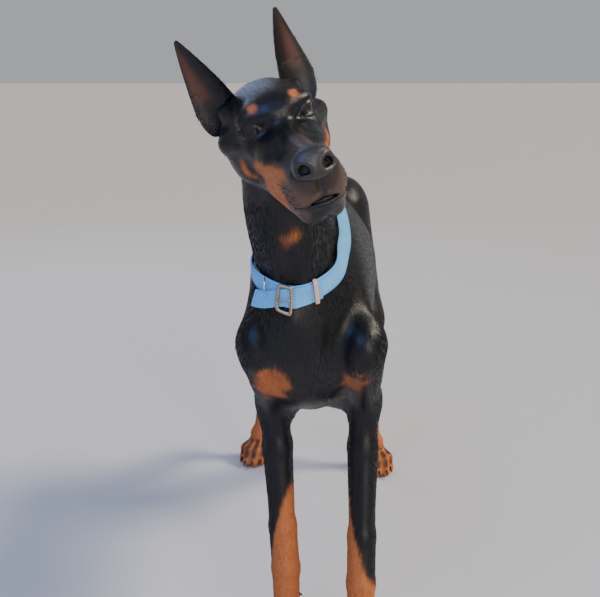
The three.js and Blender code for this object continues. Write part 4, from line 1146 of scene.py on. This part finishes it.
# The real ribs are under 1 mm apart; 1.8 mm is the finest that the picture holds.
ribs = add_node(webbing, "ShaderNodeTexWave", {"Vector": weave, "Scale": 170, "Distortion": 0.6},
                wave_type="BANDS", bands_direction="X")
threads = add_node(webbing, "ShaderNodeTexWave", {"Vector": weave, "Scale": 150, "Distortion": 0.4},
                   wave_type="BANDS", bands_direction="Y")
cloth = add_node(webbing, "ShaderNodeMath", {0: ribs.outputs["Fac"], 1: threads.outputs["Fac"]}, operation="ADD")
weave_bump = add_node(webbing, "ShaderNodeBump",
                      {"Height": cloth.outputs["Value"], "Strength": 0.5, "Distance": 0.0004})
webbing.node_tree.links.new(weave_bump.outputs["Normal"], shader.inputs["Normal"])
# The blue is painted at random between a shaded blue and a sunlit blue, painted light and shade in blotches,
# and the ribs are painted lighter towards the sunlit blue as a painted highlight.
worn = add_node(webbing, "ShaderNodeTexNoise", {"Vector": weave, "Scale": 60, "Detail": 4.0})
blue = mix_colours(webbing, worn.outputs["Fac"], sheet_colour("#2f86c4"), sheet_colour("#68b4e4"))
blue = mix_colours(webbing, add_node(webbing, "ShaderNodeMath", {0: ribs.outputs["Fac"], 1: 0.35}, operation="MULTIPLY").outputs["Value"], blue, sheet_colour("#86c8f0"))
webbing.node_tree.links.new(blue, shader.inputs["Base Color"])
for node in ("collar_strap", "collar_free_end"):
    strap = copy_of([node], node)
    quads_of(strap)
    edge = strap.modifiers.new("pressed edges", "BEVEL")
    edge.width = 0.0005
    edge.segments = 2
    edge.limit_method = "ANGLE"
    edge.angle_limit = math.radians(45)
    bend = strap.modifiers.new("even bend", "SUBSURF")
    bend.levels = bend.render_levels = 2
    apply_modifiers(strap)
    webbing_map(strap)
    strap.data.materials.clear()
    strap.data.materials.append(webbing)
    smooth_shading(strap)
    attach(strap, DOG)
    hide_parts(node)

# The stitching along both edges of the strap, in thread of the same blue, on the strap's outer face.
STITCH = 3.2
strap_at = unplaced([v.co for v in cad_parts["collar_strap"].data.vertices])
turn, height = collar_places(strap_at)
radius = np.linalg.norm(strap_at - COLLAR_AT - height[:, None] * COLLAR_UP, axis=1)
rows = []
for high in (height < 0, height > 0):
    order = np.flatnonzero(high)
    order = order[np.argsort(np.round(turn[order], 3) * 1000 - radius[order] * 0.001)]
    keep = np.concatenate([[True], np.diff(np.round(turn[order], 3)) > 0.02])
    rows.append(order[keep])


def on_strap(angle, level):
    """A place on the strap's outer face: the angle round it, and the height on it from the middle."""
    low, top = (np.stack([np.interp(angle, turn[row], strap_at[row, k], period=2 * math.pi) for k in range(3)],
                         axis=-1) for row in rows)
    share = level / STRAP_WIDE + 0.5
    return low * (1 - share) + top * share


made = bmesh.new()
for level in (-8.2, 8.2):
    angle = -2.6
    while angle < 2.6:
        spot = on_strap(angle, level)
        run = on_strap(angle + 0.02, level) - spot
        out = spot - COLLAR_AT
        out /= np.linalg.norm(out)
        reach = np.linalg.norm(run) / 0.02
        frame_of = Matrix.Translation(Vector(placed(spot + out * 0.1)))
        frame_of = frame_of @ Vector(run).to_track_quat("Z", "Y").to_matrix().to_4x4()
        bmesh.ops.create_uvsphere(made, u_segments=6, v_segments=4, radius=1,
                                  matrix=frame_of @ Matrix.Diagonal((0.00035, 0.00035, 0.0012, 1)))
        angle += STITCH / reach
stitches = as_object(made, "stitching")
thread, shader = new_material("twisted blue thread", Roughness=0.6)
shader.inputs["Base Color"].default_value = sheet_colour("#3d93cf")
stitches.data.materials.append(thread)
smooth_shading(stitches)
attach(stitches, DOG)

# The keeper is moulded plastic, the buckle cast and burnished by wear, and the D-ring plated wire.
moulded, shader = new_material("satin beige plastic", Roughness=0.42)
shader.inputs["Base Color"].default_value = sheet_colour("#c9a08f")
bronze, shader = new_material("burnished bronze", Metallic=1.0, Roughness=0.32)
shader.inputs["Base Color"].default_value = sheet_colour("#b59b78")
plated, shader = new_material("bright plated wire", Metallic=1.0, Roughness=0.14)
shader.inputs["Base Color"].default_value = sheet_colour("#d9dadc")
for node, material, slot in (("collar_keeper", moulded, "keeper"), ("collar_buckle", bronze, "buckle_metal"),
                             ("collar_d_ring", plated, "ring_metal")):
    part = copy_of([node], node)
    quads_of(part)
    rounded = part.modifiers.new("rounded", "SUBSURF")
    rounded.levels = rounded.render_levels = 2
    if node == "collar_buckle":
        cast = part.modifiers.new("full section", "DISPLACE")
        cast.strength = 0.0007
        cast.mid_level = 0
    apply_modifiers(part)
    part.data.materials.clear()
    part.data.materials.append(material)
    smooth_shading(part)
    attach(part, DOG)
    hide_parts(node)

# The buckle's prong lies across the frame from the far bar, and rests on the near one.
buckle_at = unplaced([v.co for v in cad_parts["collar_buckle"].data.vertices])
centre = (buckle_at.max(0) + buckle_at.min(0)) / 2
_, _, axes = np.linalg.svd(buckle_at - centre)
side_way = axes[1] * np.sign(axes[1][0])
out_way = axes[2] * np.sign(axes[2] @ COLLAR_FRONT)
made = bmesh.new()
for k in range(9):
    share = k / 8
    spot = centre + side_way * (share - 0.5) * 18 + out_way * (1.7 + 1.2 * math.sin(math.pi * share))
    matrix = Matrix.Translation(Vector(placed(spot))) @ Vector(side_way).to_track_quat("Z", "Y").to_matrix().to_4x4()
    ring = bmesh.ops.create_circle(made, segments=10, radius=(1.25 - 0.35 * share) * MM, matrix=matrix)["verts"]
    edges = {e for v in ring for e in v.link_edges}
    if k:
        bmesh.ops.bridge_loops(made, edges=list(edges | last))
    last = edges
bmesh.ops.holes_fill(made, edges=[e for e in made.edges if e.is_boundary], sides=12)
bmesh.ops.recalc_face_normals(made, faces=made.faces)
prong = as_object(made, "buckle_prong")
prong.data.materials.append(bronze)
smooth_shading(prong)
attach(prong, DOG)

# A pale floor that runs on behind, soft light from above and both sides, and the photograph's view.
floor_mesh = bmesh.new()
bmesh.ops.create_grid(floor_mesh, x_segments=1, y_segments=1, size=60)
floor_data = bpy.data.meshes.new("floor")
floor_mesh.to_mesh(floor_data)
floor_mesh.free()
floor = bpy.data.objects.new("floor", floor_data)
bpy.context.scene.collection.objects.link(floor)
paint, shader = new_material("pale matt studio floor", Roughness=0.8)
shader.inputs["Base Color"].default_value = sheet_colour("#c2c2c3")
floor_data.materials.append(paint)


def lamp(name, at, aim, size, watts, colour="#ffffff", kind="AREA"):
    light = bpy.data.lights.new(name, kind)
    if kind == "SUN":
        light.angle = size
    else:
        light.size = size
    light.energy = watts
    light.color = sheet_colour(colour)[:3]
    stand = bpy.data.objects.new(name, light)
    stand.location = Vector(at)
    stand.rotation_euler = (Vector(aim) - Vector(at)).to_track_quat("-Z", "Y").to_euler()
    bpy.context.scene.collection.objects.link(stand)


lamp("sun", (2.6, 0.1, 3.0), (0, 0, 0.5), 0.3, 3.3, "#fff1dc", "SUN")
lamp("sky", (-1.5, -2.4, 2.8), (0, -0.4, 0.8), 2.4, 80, "#7fa9ff")
lamp("fill", (1.5, -3.2, 1.5), (0, -0.3, 0.6), 2.0, 60, "#fff6ea")
lamp("rim", (-1.4, 2.6, 2.2), (0, 0, 0.6), 1.8, 18, "#b4ccff")
room = bpy.data.worlds.new("room")
bpy.context.scene.world = room
room.use_nodes = True
room.node_tree.nodes["Background"].inputs["Color"].default_value = (0.68, 0.70, 0.74, 1)
room.node_tree.nodes["Background"].inputs["Strength"].default_value = 0.6

VIEW_AT = (0.0, -1170.0, 889.0)
VIEW_DOWN = math.radians(15.05)
VIEW_PIXELS = 850.0
view = bpy.data.cameras.new("view")
view.sensor_fit = "HORIZONTAL"
view.angle = 2 * math.atan(300 / VIEW_PIXELS)
view.clip_start = 0.05
camera = bpy.data.objects.new("view", view)
camera.location = Vector(placed(VIEW_AT))
camera.rotation_euler = (math.pi / 2 - VIEW_DOWN, 0, 0)
bpy.context.scene.collection.objects.link(camera)
bpy.context.scene.camera = camera
